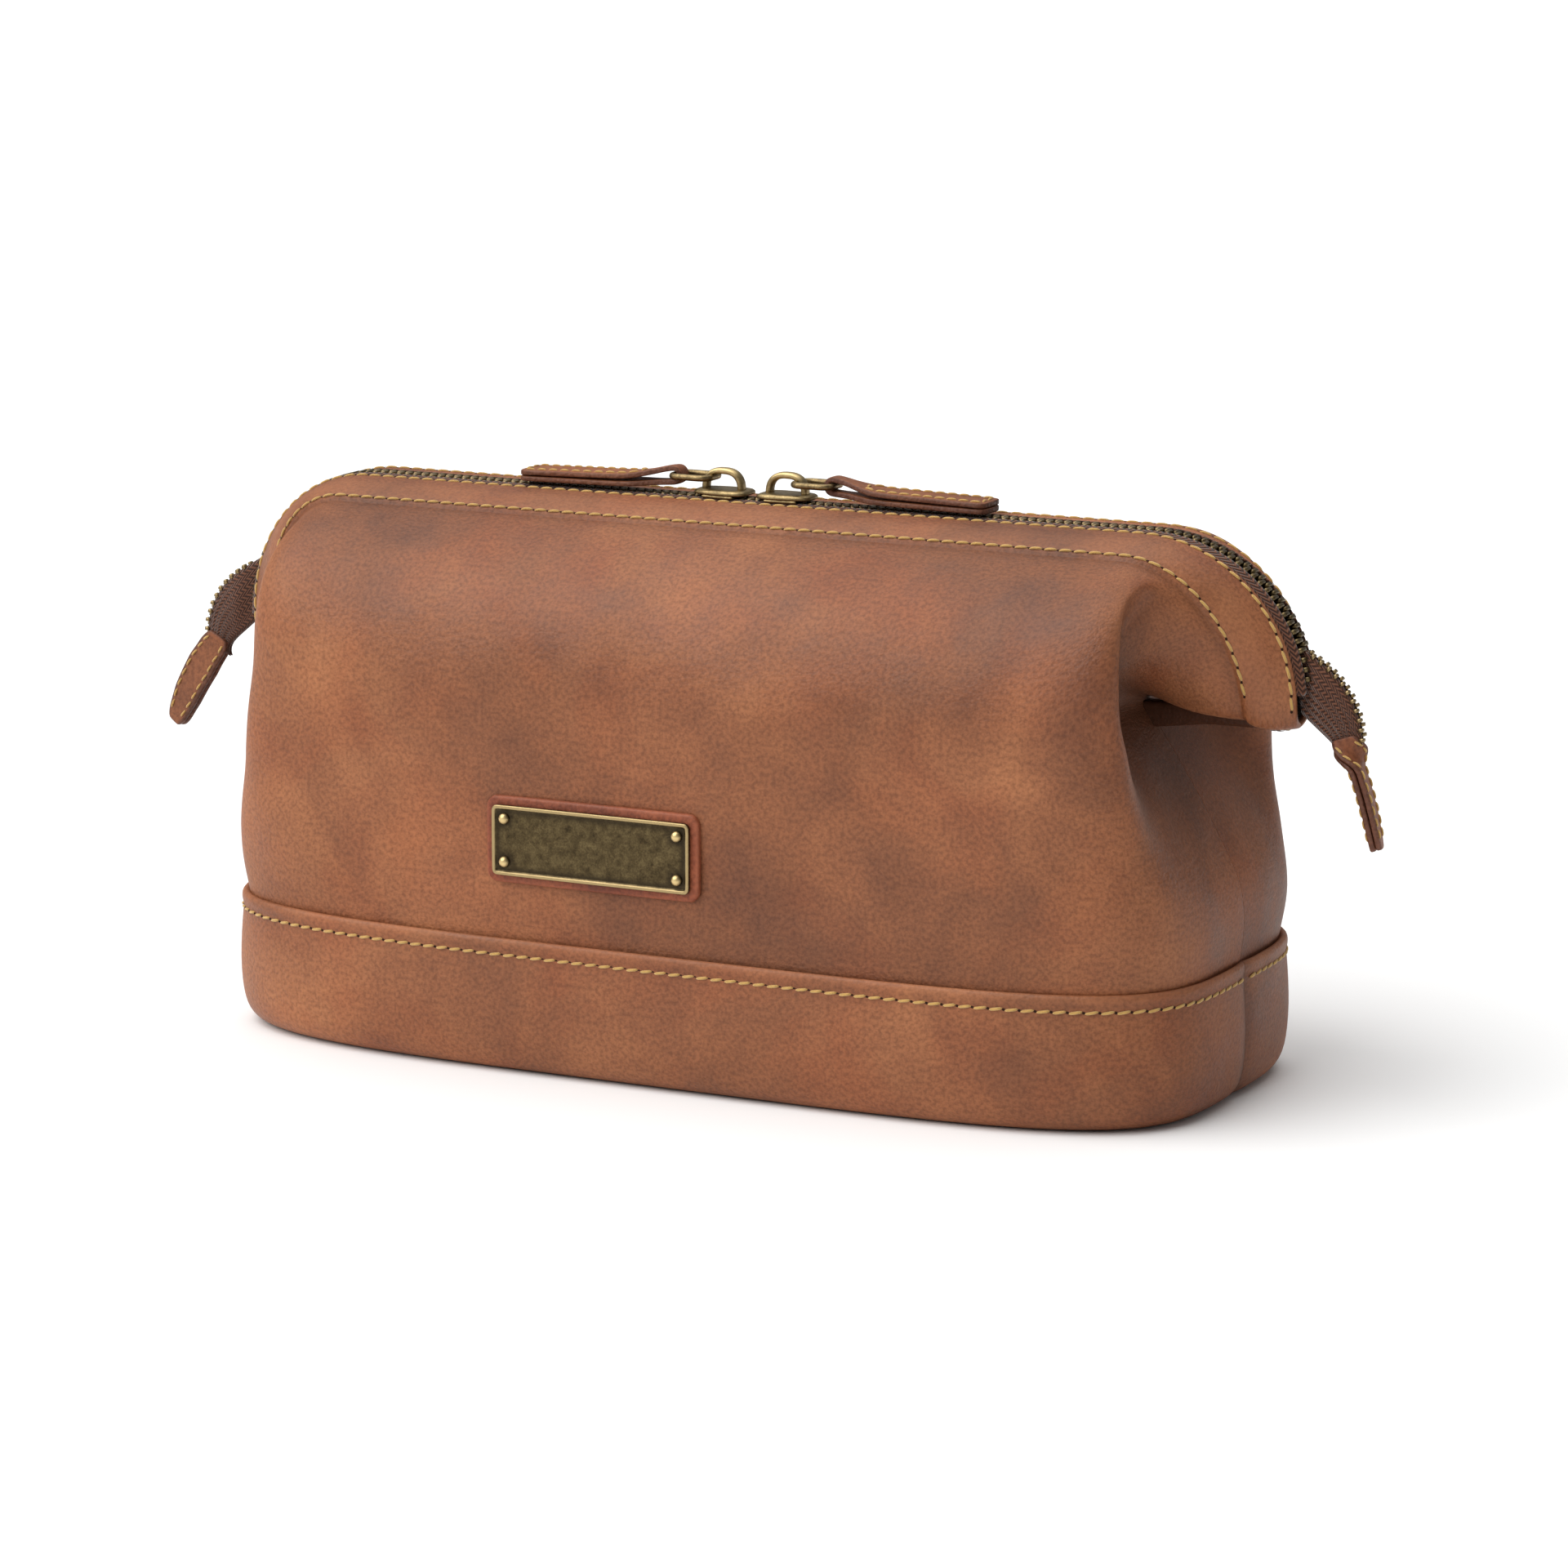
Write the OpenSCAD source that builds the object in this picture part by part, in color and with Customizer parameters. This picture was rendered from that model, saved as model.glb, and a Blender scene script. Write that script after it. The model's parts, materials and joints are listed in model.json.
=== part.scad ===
// Zipped leather wash bag that opens on two hinged wire frames.
// Millimetres. Origin on the floor under the middle of the bag, +X along the length,
// -Y towards the front with the name plate, +Z up.

/* [Bag] */
// Length of the bag at its base band
bag_l = 280; // [235:1:340]
// Depth of the bag at its base band
bag_d = 126; // [105:1:152]
// Height of the closed zip chain above the floor
bag_h = 144; // [122:1:174]
// Height of the leather band round the base
band_h = 36; // [30:1:44]
// Thickness of the bag leather
leather_t = 1.8; // [1.4:0.1:2.2]
// Thickness of the lining cloth
lining_t = 0.8; // [0.5:0.1:1.0]
// Thickness of the stiffener board in the base
board_t = 2; // [1.5:0.5:3]

/* [Mouth] */
// Room between the bag's side wall and the swinging mouth, measured at the hinges
swing_room = 16; // [15:0.5:20]
// Width of one leather channel, from its zip edge to its seam with the bag
channel_w = 17; // [15:0.5:19]
// How far each wing of the mouth stands out past the end of the bag
wing_out = 15; // [12:0.5:18]

/* [Frame] */
// Diameter of the frame wire
wire_d = 3.2; // [2.5:0.1:3.4]
// Distance of each long bar from the middle of the closed mouth
bar_y = 12; // [11:0.5:13]
// Diameter of the rivets that the frames turn on
rivet_d = 3; // [2.5:0.1:3.4]
// Thickness of the flattened eyes at the ends of the wires
eye_t = 1.2; // [0.8:0.1:1.2]

/* [Zip] */
// Pitch of the teeth along one tape
tooth_pitch = 2.5; // [2.4:0.1:3.5]
// Height of a tooth
tooth_h = 2.6; // [2:0.1:3]
// Distance from the middle of the chain to the edge of each tape
tape_edge = 2.2; // [2:0.1:2.6]
// Thickness of the zip tape
tape_t = 0.8; // [0.5:0.1:0.9]
// Length of a slider body
slider_l = 15.5; // [14.5:0.5:18]

/* [Pulls] */
// Length of a leather pull, without its loop
pull_l = 42; // [30:1:50]
// Width of a leather pull
pull_w = 12; // [9:0.5:14]
// Thickness of a leather pull
pull_t = 3.2; // [2.4:0.2:3.6]
// Diameter of the wire of a pull ring
ring_wire_d = 1.7; // [1.4:0.1:1.9]

/* [Tails] */
// Length of the leather tab on the end of the zip
tab_l = 28; // [20:1:30]
// Width of the leather tab at its top
tab_w = 9; // [7:0.5:11]

/* [Name plate] */
// Length of the metal plate
plate_l = 57; // [40:1:70]
// Height of the metal plate
plate_h = 18.5; // [14:0.5:24]
// Thickness of the metal plate
plate_t = 1.2; // [0.8:0.1:2]
// Height of the plate's middle above the floor
plate_z = 62; // [56:1:66]
// Sideways place of the plate's middle
plate_x = -16; // [-40:1:40]

/* [Hidden] */
$fn = 48;

// Colours
leather_c = "#a5694b";
lining_c = "#6b6157";
brass_c = "#6e5a34";
tape_c = "#4a3024";

// Gap left between cloth or leather pieces that lie on each other
ply_gap = 0.1;
// Gap left between a pin and the hole it turns in, on the radius
pin_gap = 0.05;
// Smallest gap between pieces that move past each other
move_gap = 0.6;

half_l = bag_l / 2;
half_d = bag_d / 2;

// ---- Body walls ----

// The upper walls run down inside the band as far as this
lap_h = 8;
wall_z0 = band_h - lap_h;
// Inset of the band's outer face from the bag's full length and depth
function band_inset(z) = lookup(z, [[0, 5], [3, 2], [8, 0.6], [20, 0], [band_h, 1.2]]);
band_top_inset = 1.2;
wall_inset = band_top_inset + leather_t + 2 * ply_gap;
// The lining hangs this far inside the wall's outer face
lining_inset = leather_t + 2 * ply_gap;

// Outer radius that the leather channel swings at, about the rivets
swing_r = half_d - swing_room;
channel_far_y = tape_edge + 3.1 + channel_w;
channel_drop = 4.9;
pivot_z = bag_h - channel_drop - sqrt(pow(swing_r - 1.6, 2) - pow(channel_far_y, 2));

// The shoulders of the mouth end this far inside the lining, at this angle from upright
shoulder_room = 2.6;
shoulder_end_angle = 64;
shoulder_end_r = half_d - wall_inset - lining_inset - lining_t - shoulder_room;

// Height of the wall's top edge: high along the sides, low under the wings
edge_overlap = 1.85;
wall_rise = shoulder_end_r * cos(shoulder_end_angle) - edge_overlap;
wall_side_z = pivot_z + wall_rise;
wall_end_z = pivot_z - 11;
end_angle = 35;
corner_angle = 45;
function wall_top(a) = lookup(a, [[end_angle, wall_end_z], [corner_angle, wall_side_z]]);

// Inset of the upper walls, which lean in above the rivets a little more than a round arc does
wall_lean = 1.35;
wall_arc_r = half_d - wall_inset;
function upper_inset(z) = let (rise = min(max(z - pivot_z, 0), wall_rise))
    wall_inset + wall_lean * (wall_arc_r - sqrt(pow(wall_arc_r, 2) - pow(rise, 2)));

// Squareness of the plan at each height
function plan_power(z) = lookup(z, [[band_h, 3.4], [pivot_z - 29, 4.5], [wall_end_z, 6]]);

// How far the end seam is tucked in, and how wide the tuck is on each side of the seam
tuck_w = 34;
function tuck(z) = lookup(z - pivot_z, [[-39, 0], [-24, 7], [-9, 19], [6, 27]]);

// One point of a rounded rectangle with half sizes a, b at the angle t from the end seam
function plan_q(t, n) = pow(pow(abs(cos(t)), n) + pow(abs(sin(t)), n), 1 / n);
function plan_pt(t, a, b, n) = [a * cos(t), b * sin(t)] / plan_q(t, n);
function tucked(p, z) = abs(p[1]) >= tuck_w ? p
    : [p[0] - sign(p[0]) * tuck(z) * pow(1 - abs(p[1]) / tuck_w, 1.5), p[1]];

// Half thickness of the plan at the place x along the length
function half_depth_at(x, inset, z) = (half_d - inset)
    * pow(max(0, 1 - pow(abs(x) / (half_l - inset), plan_power(z))), 1 / plan_power(z));

// Angles round the front half of the plan, from the right seam to the left seam
round_step = 5;
front_angles = [for (t = [0 : round_step : 180]) -t];
function seam_angle(t) = min(abs(t), 180 - abs(t));

// Closed shell between two grids of points with the same rows and columns
module shell(outer, inner) {
    rows = len(outer);
    cols = len(outer[0]);
    n = rows * cols;
    pts = concat([for (r = outer) each r], [for (r = inner) each r]);
    skin = [for (r = [0 : rows - 2], c = [0 : cols - 2], i = r * cols + c)
        each [[i, i + cols, i + cols + 1], [i, i + cols + 1, i + 1]]];
    back = [for (f = skin) [for (i = [2 : -1 : 0]) f[i] + n]];
    low = [for (c = [0 : cols - 2]) [c, c + 1, n + c + 1, n + c]];
    high = [for (c = [0 : cols - 2], k = (rows - 1) * cols) [k + c, n + k + c, n + k + c + 1, k + c + 1]];
    first = [for (r = [0 : rows - 2]) [r * cols, n + r * cols, n + (r + 1) * cols, (r + 1) * cols]];
    last = [for (r = [0 : rows - 2], k = cols - 1)
        [r * cols + k, (r + 1) * cols + k, n + (r + 1) * cols + k, n + r * cols + k]];
    polyhedron(pts, concat(skin, back, low, high, first, last), convexity = 8);
}

// Half of the gap at the end seams between the front and the rear pieces
seam_gap = 0.05;

// Row of points round the front half of a wall, at the share k of its height above the band,
// or along its lower edge inside the band where k is negative
function wall_row(k, extra, top_cut) = [for (t = front_angles)
    let (z = k < 0 ? wall_z0 : band_h + (wall_top(seam_angle(t)) - band_h) * k,
         i = upper_inset(z) + extra,
         p = plan_pt(t, half_l - i, half_d - i, plan_power(z)))
    [each tucked([p[0], min(p[1], -seam_gap)], z), z - top_cut]];
wall_levels = [-1, 0, 0.2, 0.4, 0.58, 0.72, 0.83, 0.92, 1];
function wall_grid(extra) = [for (k = wall_levels) wall_row(k, extra, 0)];

module wall_front() { shell(wall_grid(0), wall_grid(leather_t)); }

// The lining follows the wall, reaches down to the base and ends just below the wall's edge
lining_cut = 1.5;
lining_z0 = leather_t + board_t + lining_t + 3 * ply_gap;
function lining_foot(extra) = [for (t = front_angles)
    let (i = wall_inset + extra + lining_foot_inset, p = plan_pt(t, half_l - i, half_d - i, plan_power(0)))
    [p[0], min(p[1], -seam_gap), lining_z0]];
lining_foot_inset = 3;
function lining_grid(extra) = concat(
    [lining_foot(extra)],
    [for (k = wall_levels) wall_row(k, extra, k == 1 ? lining_cut : 0)]
);
module lining_front() { shell(lining_grid(lining_inset), lining_grid(lining_inset + lining_t)); }

// Base band: a shell whose lower edge is rounded in
band_levels = [0, 3, 8, 20, band_h];
function band_grid(extra) = [for (z = band_levels) [for (t = front_angles)
    let (i = band_inset(z) + extra, p = plan_pt(t, half_l - i, half_d - i, plan_power(0)))
    [p[0], min(p[1], -seam_gap), z]]];
module band_front() {
    shell(band_grid(0), band_grid(leather_t));
}

module plan_plate(inset, z, thickness) {
    ring = [for (t = [0 : round_step : 355]) plan_pt(t, half_l - inset, half_d - inset, plan_power(0))];
    translate([0, 0, z]) linear_extrude(thickness) polygon(ring);
}

base_inset = band_inset(0) + leather_t + ply_gap;
module bottom_panel() { color(leather_c) plan_plate(base_inset, 0, leather_t); }
module base_board() {
    color("#3a3a38") plan_plate(base_inset + 1, leather_t + ply_gap, board_t);
}
module base_lining() {
    color(lining_c) plan_plate(base_inset + 1, leather_t + board_t + 2 * ply_gap, lining_t);
}
module front_base_band() { color(leather_c) band_front(); }
module rear_base_band() { color(leather_c) mirror([0, 1, 0]) band_front(); }
module front_panel() { color(leather_c) wall_front(); }
module rear_panel() { color(leather_c) mirror([0, 1, 0]) wall_front(); }
module front_lining() { color(lining_c) lining_front(); }
module rear_lining() { color(lining_c) mirror([0, 1, 0]) lining_front(); }

// Flat pocket sewn to the rear lining
pocket_l = 150;
pocket_z0 = 34;
pocket_h = pivot_z - 20 - pocket_z0;
pocket_t = 1.2;
module inner_pocket() {
    lining_face = half_depth_at(pocket_l / 2, lining_inset + lining_t + wall_inset, pocket_z0);
    color(lining_c) translate([-pocket_l / 2, lining_face - ply_gap - pocket_t, pocket_z0])
        cube([pocket_l, pocket_t, pocket_h]);
}

// ---- Name plate on the front ----

backing_border = 2.2;
backing_t = 1.6;
pin_inset = 3.6;
pin_far_x = plate_l / 2 - pin_inset;
pin_far_z = plate_h / 2 - pin_inset;
pin_head_r = 1.5;
plate_face = half_d - wall_inset + ply_gap;

module rounded_slab(l, h, r, t) {
    rotate([90, 0, 0]) linear_extrude(t) union() {
        square([l - 2 * r, h], center = true);
        square([l, h - 2 * r], center = true);
        for (sx = [-1, 1], sz = [-1, 1])
            translate([sx * (l / 2 - r), sz * (h / 2 - r)]) circle(r);
    }
}
module plate_backing() {
    color("#8a4630") translate([plate_x, -plate_face, plate_z])
        rounded_slab(plate_l + 2 * backing_border, plate_h + 2 * backing_border, 3, backing_t);
}
plate_back_y = plate_face + backing_t;
rim_w = 1.1;
rim_h = 0.5;
module name_plate() {
    color(brass_c) translate([plate_x, -plate_back_y, plate_z]) difference() {
        rounded_slab(plate_l, plate_h, 1.5, plate_t);
        translate([0, -plate_t + rim_h, 0])
            rounded_slab(plate_l - 2 * rim_w, plate_h - 2 * rim_w, 1, rim_h + 1);
    }
}
module plate_pins() {
    pin_y = plate_back_y + plate_t - rim_h;
    color(brass_c) for (sx = [-1, 1], sz = [-1, 1])
        translate([plate_x + sx * pin_far_x, -pin_y, plate_z + sz * pin_far_z])
            rotate([90, 0, 0]) intersection() {
                sphere(pin_head_r);
                cylinder(r = pin_head_r, h = pin_head_r);
            }
}

// ---- Hinges at the two ends ----

wing_x = half_l + wing_out;
// Long bar of the frame, under the leather channel
mouth_far = channel_far_y - tape_edge;
wire_gap = 0.6;
bar_z = bag_h - channel_drop * (bar_y - tape_edge) / mouth_far - tape_t / 2 - wire_d / 2 - wire_gap;
bar_height = norm([bar_y, bar_z - pivot_z]);
frame_tilt = atan(bar_y / (bar_z - pivot_z));
// The arms are round from where the front and the rear frame have drawn apart
round_arm_l = 0.8;
arm_part_gap = 0.35;
arm_l = (wire_d / 2 + arm_part_gap) / sin(frame_tilt) + round_arm_l;
// Middle of the arms, further in where longer arms leave a tighter bend
arm_inset = 4.15 + 0.6 * arm_l;
arm_x = wing_x - arm_inset;
eye_r = 3.6;
// Gap between the front and the rear eye on each rivet
eye_gap = 0.5;
front_eye_x = arm_x - eye_gap / 2 - eye_t;
rear_eye_x = arm_x + eye_gap / 2;
tab_half_t = 3;
tab_end_x = front_eye_x - 1.9;
tab_start_x = half_l - wall_inset - tuck(wall_end_z) - 6;
tab_h = 16;
rivet_socket = 4.5;

module hinge_tab() {
    color(leather_c) difference() {
        translate([tab_start_x, -tab_half_t, wall_end_z])
            cube([tab_end_x - tab_start_x, 2 * tab_half_t, tab_h]);
        translate([tab_end_x - rivet_socket, 0, pivot_z]) rotate([0, 90, 0])
            cylinder(d = rivet_d, h = rivet_socket + 1);
    }
}
rivet_end_x = rear_eye_x + eye_t + 0.4;
rivet_head_t = 1.2;
rivet_head_r = 3.2;
module hinge_rivet() {
    color(brass_c) translate([0, 0, pivot_z]) rotate([0, 90, 0]) {
        translate([0, 0, tab_end_x - rivet_socket])
            cylinder(d = rivet_d, h = rivet_end_x - tab_end_x + rivet_socket);
        translate([0, 0, rivet_end_x]) cylinder(r = rivet_head_r, h = rivet_head_t);
        translate([0, 0, tab_end_x]) cylinder(r = rivet_head_r, h = rivet_head_t);
    }
}
// Folded end of the zip tape that ties the tail to the rivet
tail_hinge_x = wing_x + 2.8;
anchor_x0 = rivet_end_x + rivet_head_t;
anchor_h = 6;
anchor_t = 2.4;
module tail_anchor() {
    color(tape_c) translate([anchor_x0, -anchor_t / 2, pivot_z - anchor_h + 2])
        cube([tail_hinge_x - move_gap - tail_t / 2 - anchor_x0, anchor_t, anchor_h]);
}
module at_left() { mirror([1, 0, 0]) children(); }
module left_hinge_tab() { at_left() hinge_tab(); }
module right_hinge_tab() { hinge_tab(); }
module left_hinge_rivet() { at_left() hinge_rivet(); }
module right_hinge_rivet() { hinge_rivet(); }
module left_tail_anchor() { at_left() tail_anchor(); }
module right_tail_anchor() { tail_anchor(); }

// ---- Swinging mouth ----

// Middle of the bends at the ends of the mouth, which are a little wider than high
bend_z = pivot_z + 3;
wing_bend = bag_h - bend_z + 1.5;
bend_x = wing_x - wing_bend;
// Depth and reach of the mouth's surface at u, from 0 at the zip tape to 1 at the bag seam
wing_far = 6.8;
wing_in = 15;
function mouth_y(u, a) = -tape_edge - u * (mouth_far * cos(a) + wing_far * (1 - cos(a)));
function mouth_rx(u) = wing_bend - wing_in * u;
function mouth_rz(u) = bag_h - channel_drop * u - bend_z;
// Point of the mouth's surface on the side s, at the angle a round the bend
function mouth_pt(s, a, u) = [
    s * (bend_x + mouth_rx(u) * sin(a)),
    mouth_y(u, a),
    bend_z + mouth_rz(u) * cos(a)
];
function unit(v) = v / norm(v);
function mouth_normal(s, a, u) = let (
        du = mouth_pt(s, a, u + 0.01) - mouth_pt(s, a, u - 0.01),
        da = mouth_pt(s, a + 1, u) - mouth_pt(s, max(a - 1, 0), u) + [s * 0.001, 0, 0]
    ) unit(cross(du, da) * s);
bend_angles = [0, 12, 24, 36, 48, 60, 70, 80, 90];
stations = concat(
    [for (i = [len(bend_angles) - 1 : -1 : 0]) [-1, bend_angles[i]]],
    [for (a = bend_angles) [1, a]]
);

// Strip that follows the mouth between u0 and u1, from v0 to v1 above its surface
module mouth_ply(u0, u1, v0, v1) {
    us = [u0, (u0 + u1) / 2, u1];
    grid_at = function(v) [for (q = stations) [for (u = us)
        mouth_pt(q[0], q[1], u) + v * mouth_normal(q[0], q[1], u)]];
    shell(grid_at(v1), grid_at(v0));
}

channel_u0 = 3.1 / mouth_far;
tape_u0 = 0.6 / mouth_far;
tape_u1 = 6.5 / mouth_far;
ply_low = tape_t / 2 + 0.25;
module mouth_strip() { color(leather_c) mouth_ply(channel_u0, 1, ply_low, ply_low + 1.4); }
module zip_tape() { color(tape_c) mouth_ply(tape_u0, tape_u1, -tape_t / 2, tape_t / 2); }

// Inner ply of the channel, under the wire, along the straight part only
deck_slope = atan(channel_drop / mouth_far);
facing_t = 1;
facing_drop = tape_t / 2 + wire_d + wire_gap + 0.4;
facing_edge = 3;
module facing() {
    color(leather_c) translate([-bend_x, 0, 0]) rotate([90, 0, 90]) linear_extrude(2 * bend_x)
        translate([-tape_edge, bag_h]) rotate(deck_slope)
            translate([-mouth_far + 1, -facing_drop - facing_t])
                square([mouth_far - facing_edge - 1, facing_t]);
}

// Wire frame: straight bar, two bends and two arms with flattened eyes
wire_bend = bar_height - arm_l;
straight_x = arm_x - wire_bend;
neck_w = wire_d - 0.6;
// The bends are a little thicker than the straight lengths
straight_d = wire_d - 0.1;
module wire_end(eye_x) {
    translate([straight_x, 0, arm_l]) rotate([90, 0, 0]) rotate_extrude(angle = 90)
        translate([wire_bend, 0]) circle(d = wire_d);
    translate([arm_x, 0, arm_l - round_arm_l]) cylinder(d = straight_d, h = round_arm_l);
    translate([eye_x, 0, 0]) rotate([0, 90, 0]) difference() {
        union() {
            cylinder(r = eye_r, h = eye_t);
            translate([-arm_l + round_arm_l / 2, -neck_w / 2, 0])
                cube([arm_l - round_arm_l / 2, neck_w, eye_t]);
        }
        translate([0, 0, -1]) cylinder(r = rivet_d / 2 + pin_gap, h = eye_t + 2);
    }
}
module frame_wire(eye_x) {
    color(brass_c) translate([0, 0, pivot_z]) rotate([frame_tilt, 0, 0]) union() {
        translate([-straight_x, 0, bar_height])
            rotate([0, 90, 0])
                cylinder(d = straight_d, h = 2 * straight_x);
        wire_end(eye_x);
        mirror([1, 0, 0]) wire_end(eye_x);
    }
}

// Shoulder: the leather between the channel and the bag wall, which swings with the frame
shoulder_end_room = 4;
shoulder_end_x = half_l - wall_inset - lining_inset - lining_t - shoulder_end_room;
shoulder_u = 1;
function seam_bend(x) = abs(x) <= bend_x ? 0 : asin((abs(x) - bend_x) / mouth_rx(shoulder_u));
function seam_pt(x) = mouth_pt(1, seam_bend(x), shoulder_u);
function seam_r(x) = norm([seam_pt(x)[1], seam_pt(x)[2] - pivot_z]);
function seam_a(x) = atan2(-seam_pt(x)[1], seam_pt(x)[2] - pivot_z);
function wall_r(x) = half_depth_at(x, wall_inset + lining_inset + lining_t, pivot_z) - shoulder_room;
shoulder_xs = [for (f = [-1 : 0.125 : 1]) f * shoulder_end_x];
shoulder_start_gap = 1.2;
function shoulder_grid(inset) = [for (k = [0 : 0.2 : 1]) [for (x = shoulder_xs)
    let (a = seam_a(x) + shoulder_start_gap + (shoulder_end_angle - seam_a(x)) * k,
         r = seam_r(x) + (wall_r(x) - seam_r(x)) * k - inset)
    [x, -r * sin(a), pivot_z + r * cos(a)]]];
module shoulder() {
    color(leather_c) shell(shoulder_grid(leather_t), shoulder_grid(0));
}

// Zip teeth: small blocks along the edge of the tape
tooth_w = 1.25;
tooth_gap = 0.6;
tooth_reach = tape_edge - tooth_gap;
last_tooth_angle = 75;
module tooth() {
    translate([-tooth_w / 2, -tape_edge, -tooth_h / 2]) cube([tooth_w, tooth_reach, tooth_h]);
}
module zip_teeth(shift) {
    tooth_turn = tooth_pitch / wing_bend * 180 / PI;
    color(brass_c) {
        for (x = [-bend_x + shift : tooth_pitch : bend_x - 0.1]) translate([x, 0, bag_h]) tooth();
        for (s = [-1, 1], a = [tooth_turn * (0.8 + shift / tooth_pitch) : tooth_turn : last_tooth_angle])
            translate([s * (bend_x + mouth_rx(0) * sin(a)), 0, bend_z + mouth_rz(0) * cos(a)])
                rotate([0, s * a, 0]) tooth();
    }
}

module rear() { mirror([0, 1, 0]) children(); }
module front_frame_wire() { frame_wire(front_eye_x); }
module rear_frame_wire() { rear() frame_wire(rear_eye_x); }
module front_mouth_strip() { mouth_strip(); }
module rear_mouth_strip() { rear() mouth_strip(); }
module front_facing() { facing(); }
module rear_facing() { rear() facing(); }
module front_shoulder() { shoulder(); }
module rear_shoulder() { rear() shoulder(); }
module front_zip_tape() { zip_tape(); }
module rear_zip_tape() { rear() zip_tape(); }
module front_zip_teeth() { zip_teeth(0); }
module rear_zip_teeth() { rear() zip_teeth(tooth_pitch / 2); }

// ---- Sliders, rings and pulls ----

slider_x0 = 1.5;
slider_half_w = 5.2;
plate_top_t = 1.4;
slider_top_z = bag_h + tooth_h / 2 + 0.5;
slider_low_z = bag_h - tooth_h / 2 - 0.5;
slider_low_t = 1.2;
post_half_w = 0.3;
post_l = 3;
bridge_x0 = slider_x0 + 1.5;
bridge_l = slider_l - 3;
bridge_h = 6.2;
bridge_bar = 2;
bridge_half_w = 1.3;
bridge_z = slider_top_z + plate_top_t;
bridge_corner = 3;

module bridge_shape(l, h, r) {
    union() {
        square([l, h - r]);
        translate([r, 0]) square([l - 2 * r, h]);
        for (x = [r, l - r]) translate([x, h - r]) circle(r);
    }
}
module slider() {
    color(brass_c) union() {
        translate([slider_x0, -slider_half_w, slider_top_z])
            cube([slider_l, 2 * slider_half_w, plate_top_t]);
        translate([slider_x0, -slider_half_w, slider_low_z - slider_low_t])
            cube([slider_l, slider_half_w + post_half_w, slider_low_t]);
        translate([slider_x0, -post_half_w, slider_low_z - slider_low_t])
            cube([post_l, 2 * post_half_w, slider_top_z - slider_low_z + slider_low_t + 0.5]);
        translate([bridge_x0, bridge_half_w, bridge_z]) rotate([90, 0, 0])
            linear_extrude(2 * bridge_half_w) difference() {
                bridge_shape(bridge_l, bridge_h, bridge_corner);
                translate([bridge_bar, 0])
                    bridge_shape(
                        bridge_l - 2 * bridge_bar,
                        bridge_h - bridge_bar,
                        bridge_corner - bridge_bar
                    );
            }
    }
}

// Ring: a rounded link lying flat, its inner bar through the bridge
ring_r = ring_wire_d / 2;
ring_x = bridge_x0 + bridge_l - bridge_bar - ring_r - 0.45;
ring_z = bridge_z + 2.6;
ring_l = 11;
ring_half_w = 4.3;
ring_corner = 2.5;
module ring_bend(x, y, turn) {
    translate([x, y, 0]) rotate(turn) rotate_extrude(angle = 90)
        translate([ring_corner, 0]) circle(ring_r);
}
module pull_ring() {
    long = ring_l - 2 * ring_corner;
    wide = ring_half_w - ring_corner;
    color(brass_c) translate([ring_x, 0, ring_z]) union() {
        for (x = [0, ring_l]) translate([x, wide, 0]) rotate([90, 0, 0]) cylinder(r = ring_r, h = 2 * wide);
        for (y = [-ring_half_w, ring_half_w]) translate([ring_corner, y, 0]) rotate([0, 90, 0])
            cylinder(r = ring_r, h = long);
        ring_bend(ring_corner, wide, 90);
        ring_bend(ring_corner, -wide, 180);
        ring_bend(ring_l - ring_corner, -wide, 270);
        ring_bend(ring_l - ring_corner, wide, 0);
    }
}

// Leather pull: a loop round the ring's outer bar and a strap that lies along the chain
loop_x = ring_x + ring_l;
loop_r = ring_r + 1.85;
loop_hole_r = ring_r + 0.45;
loop_half_w = 2.3;
loop_flare = 9;
pull_end_r = 3;
pull_rest_z = slider_top_z + 0.1;
module pull_outline() {
    union() {
        translate([-loop_r, -loop_half_w]) square([2 * loop_r + 5, 2 * loop_half_w]);
        polygon([
            [loop_r, -loop_half_w],
            [loop_r + loop_flare, -pull_w / 2],
            [loop_r + loop_flare, pull_w / 2],
            [loop_r, loop_half_w]
        ]);
        translate([loop_r + loop_flare, -pull_w / 2])
            square([pull_l - loop_flare - pull_end_r, pull_w]);
        translate([loop_r + 9, -pull_w / 2 + pull_end_r])
            square([pull_l - 9, pull_w - 2 * pull_end_r]);
        for (y = [-1, 1]) translate([loop_r + pull_l - pull_end_r, y * (pull_w / 2 - pull_end_r)])
            circle(pull_end_r);
    }
}
module pull() {
    drop = ring_z - pull_rest_z;
    far_x = loop_r + pull_l;
    color(leather_c) translate([loop_x, 0, ring_z]) difference() {
        intersection() {
            translate([0, 0, -20]) linear_extrude(40) pull_outline();
            translate([0, 20, 0]) rotate([90, 0, 0]) linear_extrude(40) union() {
                circle(loop_r);
                polygon([[0, -loop_r], [far_x, -drop], [far_x, -drop + pull_t], [0, loop_r]]);
            }
        }
        translate([0, 10, 0]) rotate([90, 0, 0]) cylinder(r = loop_hole_r, h = 20);
    }
}
module left_slider() { at_left() slider(); }
module right_slider() { slider(); }
module left_pull_ring() { at_left() pull_ring(); }
module right_pull_ring() { pull_ring(); }
module left_pull() { at_left() pull(); }
module right_pull() { pull(); }

// ---- Tails of the zip ----

tail_t = 2;
tail_tab_t = 3.4;
tail_out = 12;
neck_x = tail_hinge_x + 2.5;
neck_z = pivot_z - 5;
right_tab_lean = 18;
left_tab_lean = 24;
tail_low = -3;
tail_high = 18;
// Round fold along the hinge edge, a little thicker than the tape
tail_fold_r = tail_t / 2 + 0.1;
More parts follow.
